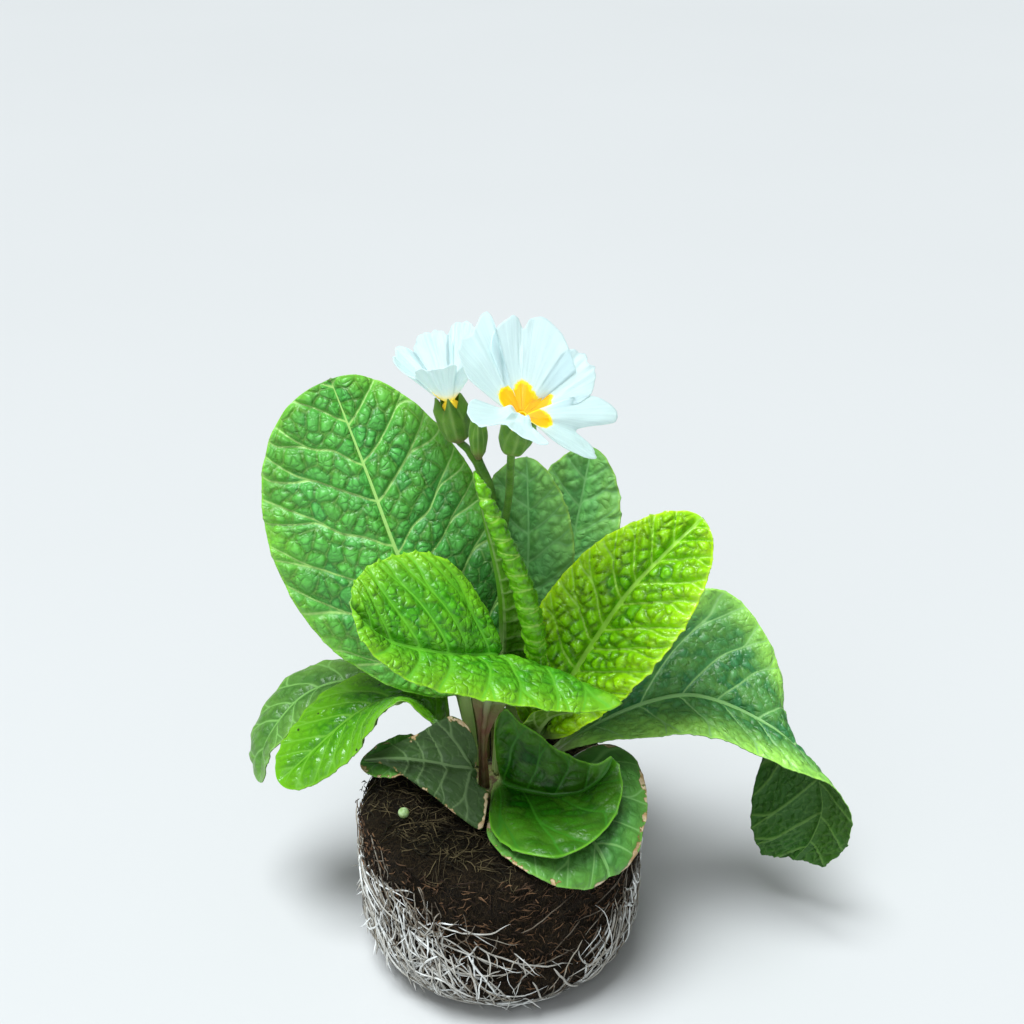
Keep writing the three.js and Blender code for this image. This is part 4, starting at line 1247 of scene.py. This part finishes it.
def corolla(name, node, flower, material):
    """Five petals and the tube that they open from."""
    place = flower_frame(flower["throat"], flower["axis"])
    parts = []
    slope_at = shared_slope(flower["petals"])
    for index, (middle, sag, lift, eye, *rim) in enumerate(flower["petals"]):
        parts.append(petal(place, slope_at, middle, rim, sag, lift, index + flower["seed"], eye))
    turn = np.arange(TUBE_COLUMNS)[None] * np.pi / (TUBE_COLUMNS / 2)
    height = np.linspace(flower["floor"] + 0.35, 0, TUBE_ROWS)[:, None] + 0 * turn
    mouth = 0.6 * smooth(height, -7, -3) + (MOUTH_RADIUS - TUBE_RADIUS - 0.6) * smooth(height, -2, 0)
    outer = place(TUBE_RADIUS + mouth, turn, height)
    inner = place(TUBE_RADIUS - TUBE_WALL + mouth, turn, height)
    outside = np.repeat([1.0, 0.0], height.size)
    parts.append((*closed_tube(outer, inner), {"reach": 0.05, "fan": 0.9, "under": outside, "tone": 0.5}))
    build(name, *join_parts(*parts), material, "petal", node)


print("a tube is", 2 * TUBE_RADIUS, "mm across")

# %% Calyx
CALYX_RADIUS = 4.4
CALYX_WALL = 0.4
CALYX_ROWS, CALYX_COLUMNS = 30, 80
CALYX_HEIGHTS = [0, 0.04, 0.14, 0.4, 0.75, 1]
CALYX_WIDTHS = [0.3, 0.42, 0.75, 0.92, 0.96]    # at those heights, and last the flower's own mouth
POINT_LENGTH = 4.6


def calyx(name, node, flower, material, closed=0.0):
    """A ribbed cup with five points. closed draws its mouth together, as on a bud."""
    place = flower_frame(flower["throat"], flower["axis"])
    turn = (np.arange(CALYX_COLUMNS)[None] + 0.5) * np.pi / (CALYX_COLUMNS / 2)
    share = np.linspace(0, 1, CALYX_ROWS)[:, None]
    point = np.abs(((turn * 5 / (2 * np.pi) + 0.25) % 1) - 0.5) * 2
    tip = flower["notch"] + POINT_LENGTH * point**1.4
    height = flower["floor"] - 1 + (tip - flower["floor"] + 1) * share
    wide = np.interp(share[:, 0], CALYX_HEIGHTS, [*CALYX_WIDTHS, flower["mouth"]])
    wide = wide[:, None] * (1 - closed * 0.75 * smooth(share, 0.45, 1))
    ridge = 0.42 * np.exp(-(((1 - point) / 0.2) ** 2)) * smooth(share, 0.05, 0.4) * (1 - 0.6 * closed * share)
    where = np.stack([np.cos(turn) * 2 + 0 * share, np.sin(turn) * 2 + 0 * share, height / 3], axis=-1)
    flare = (1 - closed) * 0.5 * share**5 * point**2
    radius = CALYX_RADIUS * flower.get("calyx", 1) * wide + ridge + flare + 0.25 * clouds(where, 1, 3) * share
    outer = place(radius, turn, height)
    inner = place(np.maximum(radius - CALYX_WALL, 0.1), turn, height)
    ridges = np.exp(-(((1 - point) / 0.16) ** 2)) + 0.7 * np.exp(-((point / 0.12) ** 2))
    masks = {"ridge": on_both(ridges, outer), "along": on_both(share, outer)}
    build(name, *closed_tube(outer, inner), masks, material, "stem", node)


print("a calyx is", 2 * CALYX_RADIUS, "mm across")

# %% Stalks and pistils
STALK_STEPS, STALK_SIDES = 90, 14
PISTIL_STEPS, PISTIL_SIDES = 24, 12
PISTIL_FOOT = -13       # height, below the throat
PISTIL_LENGTH = 10.6


def stalk(name, node, route, radius, material, slot):
    """A round stalk with slight swellings, thicker at its foot."""
    share = np.linspace(0, 1, STALK_STEPS)
    path = spaced_spline(route, share)
    swell = radius * (1 + 0.18 * (1 - share) ** 2 + 0.05 * clouds(path, 9, 2))
    points, faces = strands(path[None], swell[None], STALK_SIDES, np.array([1.0, 0.1, 0.05]))
    along = np.repeat(share, STALK_SIDES)
    build(name, points, faces, {"along": along, "ridge": 0 * along}, material, slot, node)


def pistil(name, node, flower, material):
    """The stigma's green knob on its thin style, down in the throat."""
    place = flower_frame(flower["throat"], flower["axis"])
    share = np.linspace(0, 1, PISTIL_STEPS)
    path = place(0 * share, 0 * share, PISTIL_FOOT + PISTIL_LENGTH * share)
    knob = 0.3 + 0.55 * np.exp(-(((share - 0.93) / 0.06) ** 2))
    radii = knob * np.sqrt(np.clip(1 - ((share - 0.5) / 0.505) ** 8, 0.01, 1))
    points, faces = strands(path[None], radii[None], PISTIL_SIDES, np.array([1.0, 0.2, 0.1]))
    build(name, points, faces, {"along": np.repeat(share, PISTIL_SIDES)}, material, "pistil", node)


print("a stalk has", STALK_SIDES, "sides and a pistil", PISTIL_SIDES)

# %% [markdown]
# ## Flower finishes
#
# The petals are a cool white that thins to ivory near the throat. Each bears one flame of
# orange with a yellow edge, and the five together make the eye. The flame is drawn from two
# masks on the petal: how far out a point is, and how far it is from the petal's middle line. A
# bit of noise keeps the edges from looking cut with scissors. Daylight shines through petals as
# thin as these and takes the edge off every shadow. Subsurface scattering gives part of that.
# The rest is painted light: a weak emission makes the petals glow in their own colour, which
# lifts their shadows at no cost in noise.

# %% Petal finish
YELLOW_EDGE = (11.2, 12.2)      # millimetres from the throat: still yellow, and no longer
ORANGE_EDGE = (9.9, 11.2)
PINCH = 5.0                     # how much nearer the flame ends at a petal's edge
petal_finish, paint, shader = new_material("petal", Subsurface_Weight=0.8, IOR=1.38, Emission_Strength=0.25)
shader["Subsurface Scale"].default_value = 2.5 * MM
shader["Subsurface Radius"].default_value = (1.0, 1.0, 0.95)
from_middle = paint.math("ABSOLUTE", paint.mask("fan"))
out = paint.product(paint.mask("reach"), EYE_SCALE)
uneven_out = paint.math("ADD", out, paint.step(paint.noise(1.6, 3), 0.2, 0.8, -0.7, 0.7))
limit = paint.math("ADD", uneven_out, paint.product(paint.math("POWER", from_middle, 1.4), PINCH))
yellow = paint.step(limit, *YELLOW_EDGE, 1.0, 0.0)
from_seam = paint.product(paint.math("SUBTRACT", 1.0, from_middle), out, 0.63)
orange = paint.product(paint.step(limit, *ORANGE_EDGE, 1.0, 0.0), paint.step(from_seam, 0.15, 0.6))
lines = {"X": paint.product(paint.mask("fan"), 16.0), "Y": paint.mask("reach"), "Z": paint.mask("tone")}
lines = paint.node("CombineXYZ", lines).outputs["Vector"]
streaks = paint.node("TexNoise", {"Vector": lines, "Scale": 1.2, "Detail": 3.0}).outputs["Fac"]
white = paint.mix(paint.step(streaks, 0.35, 0.7), rgb(0.43, 0.59, 0.60), rgb(0.47, 0.64, 0.64))
white = paint.mix(paint.step(out, 3.0, 15.0, 0.45, 0.0), white, rgb(0.72, 0.76, 0.45))
eye = paint.mix(orange, rgb(0.92, 0.62, 0.0), rgb(0.95, 0.36, 0.0))
dark_line = paint.product(paint.step(from_middle, 0.02, 0.07, 1.0, 0.0), paint.step(out, 3.0, 7.5, 0.75, 0.0))
eye = paint.mix(dark_line, eye, rgb(0.25, 0.10, 0.01))
face = paint.mix(yellow, white, eye)
back = paint.mix(paint.step(out, 2.0, 9.0, 1.0, 0.0), white, rgb(0.78, 0.66, 0.04))
whole = paint.mix(paint.mask("under"), face, back)
paint.feed(shader["Base Color"], whole)
# Painted light: the petal also glows in its own colour, which lifts its shadows.
paint.feed(shader["Emission Color"], whole)
paint.feed(shader["Roughness"], paint.step(streaks, 0.3, 0.7, 0.42, 0.6))
bump(paint, shader, paint.math("ADD", streaks, paint.product(paint.noise(0.8, 2), 0.3)), 0.07)
print("petal finish:", len(paint.tree.nodes), "nodes")

# %% Stem and stigma finishes
stem_finish, paint, shader = new_material("downy stem", Subsurface_Weight=0.1, Sheen_Weight=0.08)
shader["Specular IOR Level"].default_value = 0.35
shader["Subsurface Scale"].default_value = 0.8 * MM
patch = paint.step(paint.noise(6, 3), 0.3, 0.7)
green = paint.mix(patch, rgb(0.065, 0.20, 0.010), rgb(0.14, 0.32, 0.025))
green = paint.mix(paint.product(paint.mask("ridge"), 0.7), green, rgb(0.26, 0.42, 0.10))
blush = paint.step(paint.mask("along"), 0.0, 0.3, 0.7, 0.0)
paint.feed(shader["Base Color"], paint.mix(blush, green, rgb(0.20, 0.09, 0.05)))
paint.feed(shader["Roughness"], paint.step(paint.noise(1.5, 3), 0.3, 0.7, 0.45, 0.7))
bump(paint, shader, paint.math("ADD", paint.noise(0.5, 3), paint.noise(2.5, 2)), 0.2)

pistil_finish, paint, shader = new_material("stigma", Roughness=0.6)
stigma_green = paint.mix(paint.noise(0.6), rgb(0.30, 0.36, 0.05), rgb(0.50, 0.55, 0.10))
paint.feed(shader["Base Color"], stigma_green)
bump(paint, shader, paint.noise(0.3, 3), 0.1)
print("stem and stigma finishes:", stem_finish.name, pistil_finish.name)

# %% [markdown]
# ## Two flowers and a bud
#
# Each flower is a dictionary of its own values. The throat is where the tube opens, and the
# axis is the way that the flower looks. Floor and notch are heights below the throat: where the
# tube starts, and how deep the calyx is cut between its points. Mouth is how far the calyx's rim
# closes in. A petal is the azimuth of its middle, how far it sags, how high it humps near the
# throat, how big its share of the eye is, and its five rim places. The route is the stem's.

# %% The flowers' values
MAIN_FLOWER = {
    "throat": [6.6, -10, 192.8], "axis": [0.18, -0.45, 0.87], "seed": 1,
    "calyx": 1.15, "floor": -15.35, "notch": -4.8, "mouth": 0.7,
    "petals": [
        (40, 0.6, 0, 1.0,
         [23, 19, 1.8], [40, 25.5, 4], [48, 25.8, 4.5], [58, 27, 5.5], [67, 24, 6.1]),
        (100, 0.8, 0, 1.0,
         [50, 22.5, 4], [85, 30.2, 8], [97, 27, 7.5], [105, 28.8, 9], [127, 21.3, 8]),
        (155, 0.8, 0, 0.85,
         [117, 20.7, 7], [118, 30.7, 9.8], [132, 26.7, 8.5], [151, 24, 8], [165, 17.8, 6]),
        (245, 0.0, 3.0, 0.3,
         [187, 15.7, 5.5], [227, 20.3, 10], [249, 15.5, 11.5], [289, 19.4, 11], [292, 12, 7]),
        (335, -0.6, 0, 0.78,
         [328, 11, -2], [342, 24, -4.5], [359, 17, -1.8], [371, 27.4, 0.8], [392, 20.4, 1.7]),
    ],
    "route": [[-1.5, 12, 62], [-1.5, 17, 90], [0, 23, 120], [1.5, 24.9, 138], [3, 16, 155]],
}
LEFT_FLOWER = {
    "throat": [-14.5, 19, 185.05], "axis": [-0.2, 0, 0.98], "seed": 7,
    "calyx": 1.2, "floor": -12.85, "notch": -2.4, "mouth": 0.62,
    "petals": [
        (65, 0.8, 0, 0.6,
         [48, 17, 14], [60, 20.1, 16], [70, 20.8, 15.5], [79, 20, 16], [84, 14.3, 14]),
        (105, 0.8, 0, 0.6,
         [77, 15.6, 13], [88, 17.3, 15.5], [99, 18, 15], [112, 17.7, 15], [124, 17, 13]),
        (155, 0.5, 0, 0.6,
         [122, 15.7, 12], [129, 21, 13], [141, 18.3, 12.5], [158, 15.5, 13], [188, 10, 11]),
        (240, 0.0, 0, 0.6,
         [185, 9.4, 11], [232, 8.8, 14], [262, 10.8, 14], [282, 11.8, 16], [310, 9.2, 14]),
        (350, 0.0, 0, 0.6,
         [306, 8.6, 12], [320, 15.9, 15], [338, 15, 15], [360, 15.7, 16], [410, 17, 13]),
    ],
    "route": [[-8, 15, 62], [-8, 21, 90], [-7.5, 25.5, 120], [-5.6, 30.2, 152], [-8.5, 24, 165]],
}
BUD = {
    "throat": [-6, 13, 184.8], "axis": [0, 0, 1],
    "calyx": 0.66, "floor": -15.35, "notch": -2, "mouth": 0.7,
    "route": [[-4.5, 12, 62], [-4.5, 18, 90], [-4, 23.5, 120], [-1.8, 27.2, 147], [-6, 13.8, 168]],
}
print("petals on each flower:", len(MAIN_FLOWER["petals"]), len(LEFT_FLOWER["petals"]))

# %% Flowers
STEM_RADIUS = 1.2
SOCKET_DEPTH = 1.2      # that a stem ends below its flower's floor

for kind, flower in (("main_flower", MAIN_FLOWER), ("left_flower", LEFT_FLOWER)):
    corolla("petals_" + kind, "corolla_" + kind, flower, petal_finish)
    calyx("cup_" + kind, "calyx_" + kind, flower, stem_finish)
    pistil("stigma_" + kind, "pistil_" + kind, flower, pistil_finish)
    top = flower_frame(flower["throat"], flower["axis"])(0, 0, flower["floor"] - SOCKET_DEPTH)
    stalk("stalk_" + kind, "stem_" + kind, [*flower["route"], top.tolist()], STEM_RADIUS, stem_finish, "stem")
calyx("closed_bud", "bud", BUD, stem_finish, closed=1.0)
stalk("stalk_bud", "stem_bud", BUD["route"], STEM_RADIUS, stem_finish, "stem")
print("two flowers and a bud made")

# %% [markdown]
# ## The root ball
#
# The plug of peat keeps the shape of the pot that it came out of. Its wall is a felt of brown
# fibres, and its top is crumbly. It is a lathe form, a profile turned round the axis, which is
# then pushed in and out by soft noise of three sizes. Lumps go inwards more than outwards, so
# that nothing swells past the real size.

# %% The ball's shape
BALL_HEIGHT = 58
BALL_RIM_RADIUS = 44.8
BALL_FOOT_RADIUS = 32
BALL_SHOULDER = 5       # height over which the wall rounds over into the top
BALL_COLUMNS = 240


def ball_radius(z):
    """The pot's taper, with the foot that the roots have rounded off."""
    foot = 1 - np.clip(np.asarray(z, float) / 20, 0, 1)
    return BALL_RIM_RADIUS - 1.5 * (1 - z / BALL_HEIGHT) - 11 * foot**2.6


def ball_place(azimuth, z, proud=0.0):
    """A point on the wall of the ball, or proud of it."""
    radius = ball_radius(z) + proud
    return np.stack([radius * np.cos(azimuth), radius * np.sin(azimuth), z + 0 * azimuth], axis=-1)


def peat_shape():
    """The lathe form with its lumps."""
    bottom = [(radius, 0.0) for radius in np.linspace(0.3, BALL_FOOT_RADIUS, 16)]
    wall = [(ball_radius(z), z) for z in np.linspace(0.5, BALL_HEIGHT - BALL_SHOULDER, 56)]
    bend = np.linspace(0, np.pi / 2, 9)[1:]
    wall_top = BALL_HEIGHT - BALL_SHOULDER
    shoulder = [
        (BALL_RIM_RADIUS - 7 + 6.9 * math.cos(angle), wall_top + BALL_SHOULDER * math.sin(angle))
        for angle in bend]
    top = [(radius, BALL_HEIGHT) for radius in np.linspace(BALL_RIM_RADIUS - 8, 0.3, 40)]
    profile = np.array(bottom + wall + shoulder + top)
    turn = np.arange(BALL_COLUMNS)[None] * 2 * np.pi / BALL_COLUMNS
    radius, z = profile[:, :1], profile[:, 1:]
    points = np.stack([radius * np.cos(turn), radius * np.sin(turn), z + 0 * turn], axis=-1)
    out = np.stack([np.cos(turn) + 0 * z, np.sin(turn) + 0 * z, 0 * turn * z], axis=-1)
    crumbs = 1.5 * clouds(points, 8, 1) + 0.8 * clouds(points, 3, 2) + 0.5 * clouds(points, 1.4, 3)
    on_wall = smooth(z, 0.5, 4) * (1 - smooth(z, BALL_HEIGHT - 2, BALL_HEIGHT))
    on_top = smooth(z, BALL_HEIGHT - 6, BALL_HEIGHT)
    points = points + out * ((0.7 * crumbs - 0.6) * on_wall)[..., None]
    points[..., 2] += (1.1 * crumbs - 1.2) * on_top * smooth(radius, 0, 6)
    points[..., 2] = np.minimum(points[..., 2], BALL_HEIGHT + 0.2)
    return points


print("the ball is", 2 * BALL_RIM_RADIUS, "mm across at its rim")


# %% The ball as a grid
def capped(rows, columns):
    """The faces of a grid that wraps round, with a cap on each open end."""
    caps = [list(range(columns))[::-1], [(rows - 1) * columns + column for column in range(columns)]]
    return grid_faces(rows, columns, wrap=True).tolist() + caps


peat = peat_shape()
print("peat ball:", peat.shape[0], "rings of", peat.shape[1], "points")

# %% Peat
WEB_SCALE = 900.0       # cells of the fibre web in a metre
peat_finish, paint, shader = new_material("peat", Roughness=0.95, Specular_IOR_Level=0.15)
clods = paint.step(paint.noise(9, 4, 0.6), 0.35, 0.65)
grain = paint.step(paint.noise(1.6, 4, 0.7), 0.35, 0.7)
stretched = paint.node("Mapping", {"Vector": paint.spot(), "Scale": (1, 1, 0.3)}).outputs["Vector"]
fibre_web = paint.node("TexVoronoi", {"Vector": stretched, "Scale": WEB_SCALE}, feature="DISTANCE_TO_EDGE")
web = paint.step(fibre_web.outputs["Distance"], 0.02, 0.12, 1.0, 0.0)
# The peat's browns are very dark: partly the wet peat's own colour and partly painted shade for the shadow of
# the leaves over the top.
dark = paint.mix(clods, rgb(0.003, 0.0025, 0.0015), rgb(0.011, 0.007, 0.003))
brown = paint.mix(paint.product(grain, 0.7), dark, rgb(0.040, 0.026, 0.012))
paint.feed(shader["Base Color"], paint.mix(paint.product(web, 0.35), brown, rgb(0.10, 0.065, 0.03)))
bump(paint, shader, paint.math("ADD", grain, paint.product(web, 0.5)), 1.2)
build("peat_ball", peat.reshape(-1, 3), capped(*peat.shape[:2]), {}, peat_finish, "peat", "root_ball")
print("peat finish:", len(paint.tree.nodes), "nodes")

# %% [markdown]
# ## Fibres
#
# Coir and moss stick out of the peat everywhere. Each fibre is a short, thin tube that wanders
# a little. On the wall they lie along it, on the top they lie in every direction and arch up a
# bit. A seeded random generator scatters them, so that they fall in the same places each time.

# %% Strands over the wall
SEED = 42
NEARLY_UP = (0.03, 0.02, 1.0)   # no strand runs exactly this way
FLOOR_GAP = 0.05
random = np.random.default_rng(SEED)


def wandering(count, steps, start, turn, wander):
    """Headings of many strands: each starts near start and drifts, in radians."""
    first = random.normal(start, turn, (count, 1))
    return first + np.cumsum(random.normal(0, wander, (count, steps)), axis=1)


def wall_routes(azimuth, z, length, steps, heading, proud):
    """Routes over the wall. A heading of zero runs straight down."""
    stride = (length / steps)[:, None]
    radius = ball_radius(np.clip(z, 0, BALL_HEIGHT))[:, None]
    round_the_wall = azimuth[:, None] + np.cumsum(np.sin(heading) * stride / radius, axis=1)
    level = z[:, None] - np.cumsum(np.cos(heading) * stride, axis=1)
    level = np.clip(level, 0.7, BALL_HEIGHT - 1.5)
    return ball_place(round_the_wall, level, proud)


def taper(steps, radius):
    """Radii that thin out at both ends."""
    share = np.linspace(0, 1, steps)
    shape = np.clip(np.minimum(share * 8 + 0.35, (1 - share) * 3 + 0.15), 0, 1)
    return radius[:, None] * shape[None]


def scatter(name, routes, radius, sides, material, slot, *nodes):
    """Builds strands as one piece, each with its own tone on all of its points."""
    count, steps = routes.shape[:2]
    points, faces = strands(routes, taper(steps, radius), sides, NEARLY_UP)
    points[:, 2] = np.maximum(points[:, 2], FLOOR_GAP)
    masks = {"tone": np.repeat(random.random(count), steps * sides)}
    build(name, points, faces, masks, material, slot, *nodes)
    print(name, count, "strands,", sum(len(face) - 2 for face in faces), "triangles")


print("no strand comes nearer the floor than", FLOOR_GAP, "mm")


# %% Strand finishes
def strand_finish(name, dark, pale, rough):
    """A matt fibre whose shade differs from strand to strand and along each one."""
    material, paint, shader = new_material(name, Specular_IOR_Level=0.25)
    blotch = paint.step(paint.noise(4, 3), 0.3, 0.7, -0.25, 0.25)
    tone = paint.math("ADD", paint.math("POWER", paint.mask("tone"), 1.5), blotch)
    paint.feed(shader["Base Color"], paint.mix(paint.step(tone, 0.0, 1.0), dark, pale))
    paint.feed(shader["Roughness"], paint.step(paint.noise(1.2, 2), 0.3, 0.7, rough - 0.1, rough + 0.1))
    bump(paint, shader, paint.noise(0.5, 3), 0.15)
    return material


coir_finish = strand_finish("coir", rgb(0.022, 0.012, 0.007), rgb(0.21, 0.115, 0.058), 0.8)
# The moss is dark: partly its own colour and partly painted shade for the shadow of the leaves over the top
# of the ball.
moss_finish = strand_finish("dry moss", rgb(0.008, 0.006, 0.002), rgb(0.15, 0.115, 0.055), 0.8)
print("fibre finishes:", coir_finish.name, moss_finish.name)

# %% Fibres on the wall
WALL_FIBRES = 3600
WALL_STEPS = 5
FIBRE_SIDES = 3
azimuth = random.uniform(0, 2 * np.pi, WALL_FIBRES)
height = 4 + 51 * random.random(WALL_FIBRES) ** 0.7
heading = wandering(WALL_FIBRES, WALL_STEPS, np.pi / 2, 0.75, 0.3)
proud = random.uniform(-0.9, 0.5, (WALL_FIBRES, 1))
proud = proud + np.cumsum(random.normal(0, 0.22, (WALL_FIBRES, WALL_STEPS)), axis=1)
routes = wall_routes(azimuth, height, random.uniform(2, 6.5, WALL_FIBRES), WALL_STEPS, heading, proud)
radius = random.uniform(0.10, 0.24, WALL_FIBRES)
scatter("wall_fibres", routes, radius, FIBRE_SIDES, coir_finish, "peat")

# %% Fibres on top
TOP_FIBRES = 1700
TOP_STEPS = 6
centre = np.sqrt(random.random(TOP_FIBRES)) * (BALL_RIM_RADIUS - 3)
azimuth = random.uniform(0, 2 * np.pi, TOP_FIBRES)
heading = wandering(TOP_FIBRES, TOP_STEPS, 0, np.pi, 0.45)
stride = random.uniform(0.8, 2.7, (TOP_FIBRES, 1))
x = (centre * np.cos(azimuth))[:, None] + np.cumsum(np.cos(heading) * stride, axis=1)
y = (centre * np.sin(azimuth))[:, None] + np.cumsum(np.sin(heading) * stride, axis=1)
from_axis = np.hypot(x, y)
arch = np.sin(np.linspace(0, np.pi, TOP_STEPS))[None] * random.uniform(-0.3, 1.6, (TOP_FIBRES, 1))
z = BALL_HEIGHT - 0.9 + arch - 5 * smooth(from_axis, BALL_RIM_RADIUS - 8, BALL_RIM_RADIUS + 1) ** 2
inside = np.minimum(1, (BALL_RIM_RADIUS - 0.5) / from_axis)
routes = np.stack([x * inside, y * inside, z], axis=-1)
radius = random.uniform(0.07, 0.2, TOP_FIBRES)
scatter("moss_strands", routes, radius, FIBRE_SIDES, moss_finish, "peat")

# %% [markdown]
# ## White roots
#
# Where the pot's wall stopped them, the roots turned and ran down and round. They are thickest
# on the left and along the foot, and sparse in front, where the peat shows between them. Each
# root is a tapering tube over the wall, and its heading says how it slants. A finer lot and a
# grey old lot fill in, a fourth circles the foot, and a few loose ends stand off the wall.

# %% Root finishes and places
root_finish = strand_finish("white root", rgb(0.44, 0.42, 0.37), rgb(0.93, 0.95, 0.93), 0.5)
old_root_finish = strand_finish("grey root", rgb(0.13, 0.10, 0.07), rgb(0.46, 0.42, 0.34), 0.6)


def thick_with_roots(azimuth):
    """How densely the roots grow at each azimuth: most on the left, least in front."""
    degrees = np.degrees(azimuth) % 360
    front = np.exp(-(((degrees - 288) / 38) ** 2))
    left = np.exp(-(((degrees - 212) / 36) ** 2))
    right = np.exp(-(((degrees - 350) / 24) ** 2))
    return np.clip(0.62 - 0.52 * front + 0.6 * left + 0.35 * right, 0.06, 1)


def root_places(count, low, high):
    """Starting places, with more where the roots are thick."""
    azimuth = random.uniform(0, 2 * np.pi, count * 4)
    azimuth = azimuth[random.random(count * 4) < thick_with_roots(azimuth)][:count]
    ceiling = high * (0.62 + 0.38 * thick_with_roots(azimuth))
    return azimuth, low + (ceiling - low) * random.random(len(azimuth)) ** 0.8


print("roots are", round(thick_with_roots(math.radians(212)) / thick_with_roots(math.radians(288)), 1),
      "times as thick on the left as in front")


# %% Roots over the wall
def root_layer(name, material, *nodes, count, length, radius, slant, steps, sides, heights):
    """One lot of roots. length, radius and heights are the least and the most."""
    azimuth, height = root_places(count, *heights)
    count = len(azimuth)
    heading = wandering(count, steps, slant, 0.5, 0.16)
    lean = random.uniform(0.1, 1.3, (count, 1))
    lean = lean + 0.5 * np.sin(np.linspace(0, 3, steps) + random.uniform(0, 6, (count, 1)))
    routes = wall_routes(azimuth, height, random.uniform(*length, count), steps, heading, lean)
    scatter(name, routes, random.uniform(*radius, count), sides, material, "root", *nodes)


root_layer("main_roots", root_finish, "root_mat", count=400, length=(12, 42), radius=(0.24, 0.42),
           slant=0.35, steps=15, sides=4, heights=(6, 46))
root_layer("fine_roots", root_finish, count=560, length=(6, 20), radius=(0.12, 0.2),
           slant=0.1, steps=8, sides=3, heights=(3, 46))
root_layer("grey_roots", old_root_finish, count=560, length=(6, 24), radius=(0.14, 0.26),
           slant=0.0, steps=12, sides=3, heights=(4, 57))
root_layer("foot_roots", root_finish, count=80, length=(12, 46), radius=(0.2, 0.4),
           slant=1.45, steps=14, sides=4, heights=(1, 7))

# %% Loose ends
LOOSE_ENDS = 70
LOOSE_STEPS = 8
azimuth = np.radians(random.uniform(150, 290, LOOSE_ENDS))
height = random.uniform(1.5, 34, LOOSE_ENDS)
heading = wandering(LOOSE_ENDS, LOOSE_STEPS, 0.3, 0.5, 0.25)
proud = 0.5 + random.uniform(1.5, 5, (LOOSE_ENDS, 1)) * np.linspace(0, 1, LOOSE_STEPS)[None] ** 1.6
routes = wall_routes(azimuth, height, random.uniform(5, 12, LOOSE_ENDS), LOOSE_STEPS, heading, proud)
scatter("loose_roots", routes, random.uniform(0.18, 0.3, LOOSE_ENDS), 5, root_finish, "root")

# %% [markdown]
# ## Crown and prill
#
# All stalks rise from a low, knobbly crown of old leaf bases. One round prill of fertiliser lies
# on the peat. Both are small, but a plain ball would give them away, so each gets a lumpy form.

# %% Crown
CROWN = {"x": -2, "y": 5, "radius": 11, "height": 3.4, "rows": 26, "columns": 64}
CROWN_DEPTH = 1.5       # that it is sunk in the peat
crown_finish, paint, shader = new_material("crown", Roughness=0.6, Subsurface_Weight=0.05)
scar = paint.step(paint.noise(3, 4, 0.6), 0.4, 0.6)
paint.feed(shader["Base Color"], paint.mix(scar, rgb(0.10, 0.055, 0.025), rgb(0.22, 0.24, 0.07)))
bump(paint, shader, paint.noise(1.0, 4), 0.4)

turn = np.arange(CROWN["columns"])[None] * np.pi / (CROWN["columns"] / 2)
share = np.linspace(0.001, 1, CROWN["rows"])[:, None]
radius = CROWN["radius"] * np.sin(share * np.pi / 2) + 0 * turn
height = CROWN["height"] * np.sqrt(np.clip(1 - share**2.2, 0, 1)) + 0 * turn
places = CROWN["x"] + radius * np.cos(turn), CROWN["y"] + radius * np.sin(turn), BALL_HEIGHT + height
dome = np.stack(places, axis=-1)
dome[..., 2] += 0.6 * clouds(dome, 3, 4) * (1 - share)
dome = dome[::-1]
under = dome.copy()
under[..., 2] = BALL_HEIGHT - CROWN_DEPTH
build("leaf_bases", *closed_tube(dome, under), {}, crown_finish, "crown", "crown")
print("crown:", 2 * CROWN["radius"], "mm across")

# %% Prill
PRILL_RADIUS = 1.7
PRILL_ROWS, PRILL_COLUMNS = 28, 40
DENT = [0.5, -0.5, 0.7]
prill_finish, paint, shader = new_material("prill", Roughness=0.55, Subsurface_Weight=0.1)
patch = paint.step(paint.noise(1.5, 3), 0.35, 0.65)
paint.feed(shader["Base Color"], paint.mix(patch, rgb(0.28, 0.42, 0.13), rgb(0.52, 0.68, 0.32)))
bump(paint, shader, paint.noise(0.4, 3), 0.1)

turn = np.arange(PRILL_COLUMNS)[None] * np.pi / (PRILL_COLUMNS / 2)
tilt = np.linspace(0.02, np.pi - 0.02, PRILL_ROWS)[:, None]
ball = np.stack([np.sin(tilt) * np.cos(turn), np.sin(tilt) * np.sin(turn), -np.cos(tilt) + 0 * turn], axis=-1)
dent = 0.12 * np.exp(-(((ball - DENT) ** 2).sum(-1)) / 0.06)
size = PRILL_RADIUS * (1 + 0.06 * clouds(ball, 0.7, 3) - dent)
low, high = (np.array(corner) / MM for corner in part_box("fertiliser_prill"))
points = ((low + high) / 2 + ball * size[..., None]).reshape(-1, 3)
build("prill", points, capped(PRILL_ROWS, PRILL_COLUMNS), {}, prill_finish, "prill", "fertiliser_prill")
print("prill:", 2 * PRILL_RADIUS, "mm across")

# %% [markdown]
# ## Finish
#
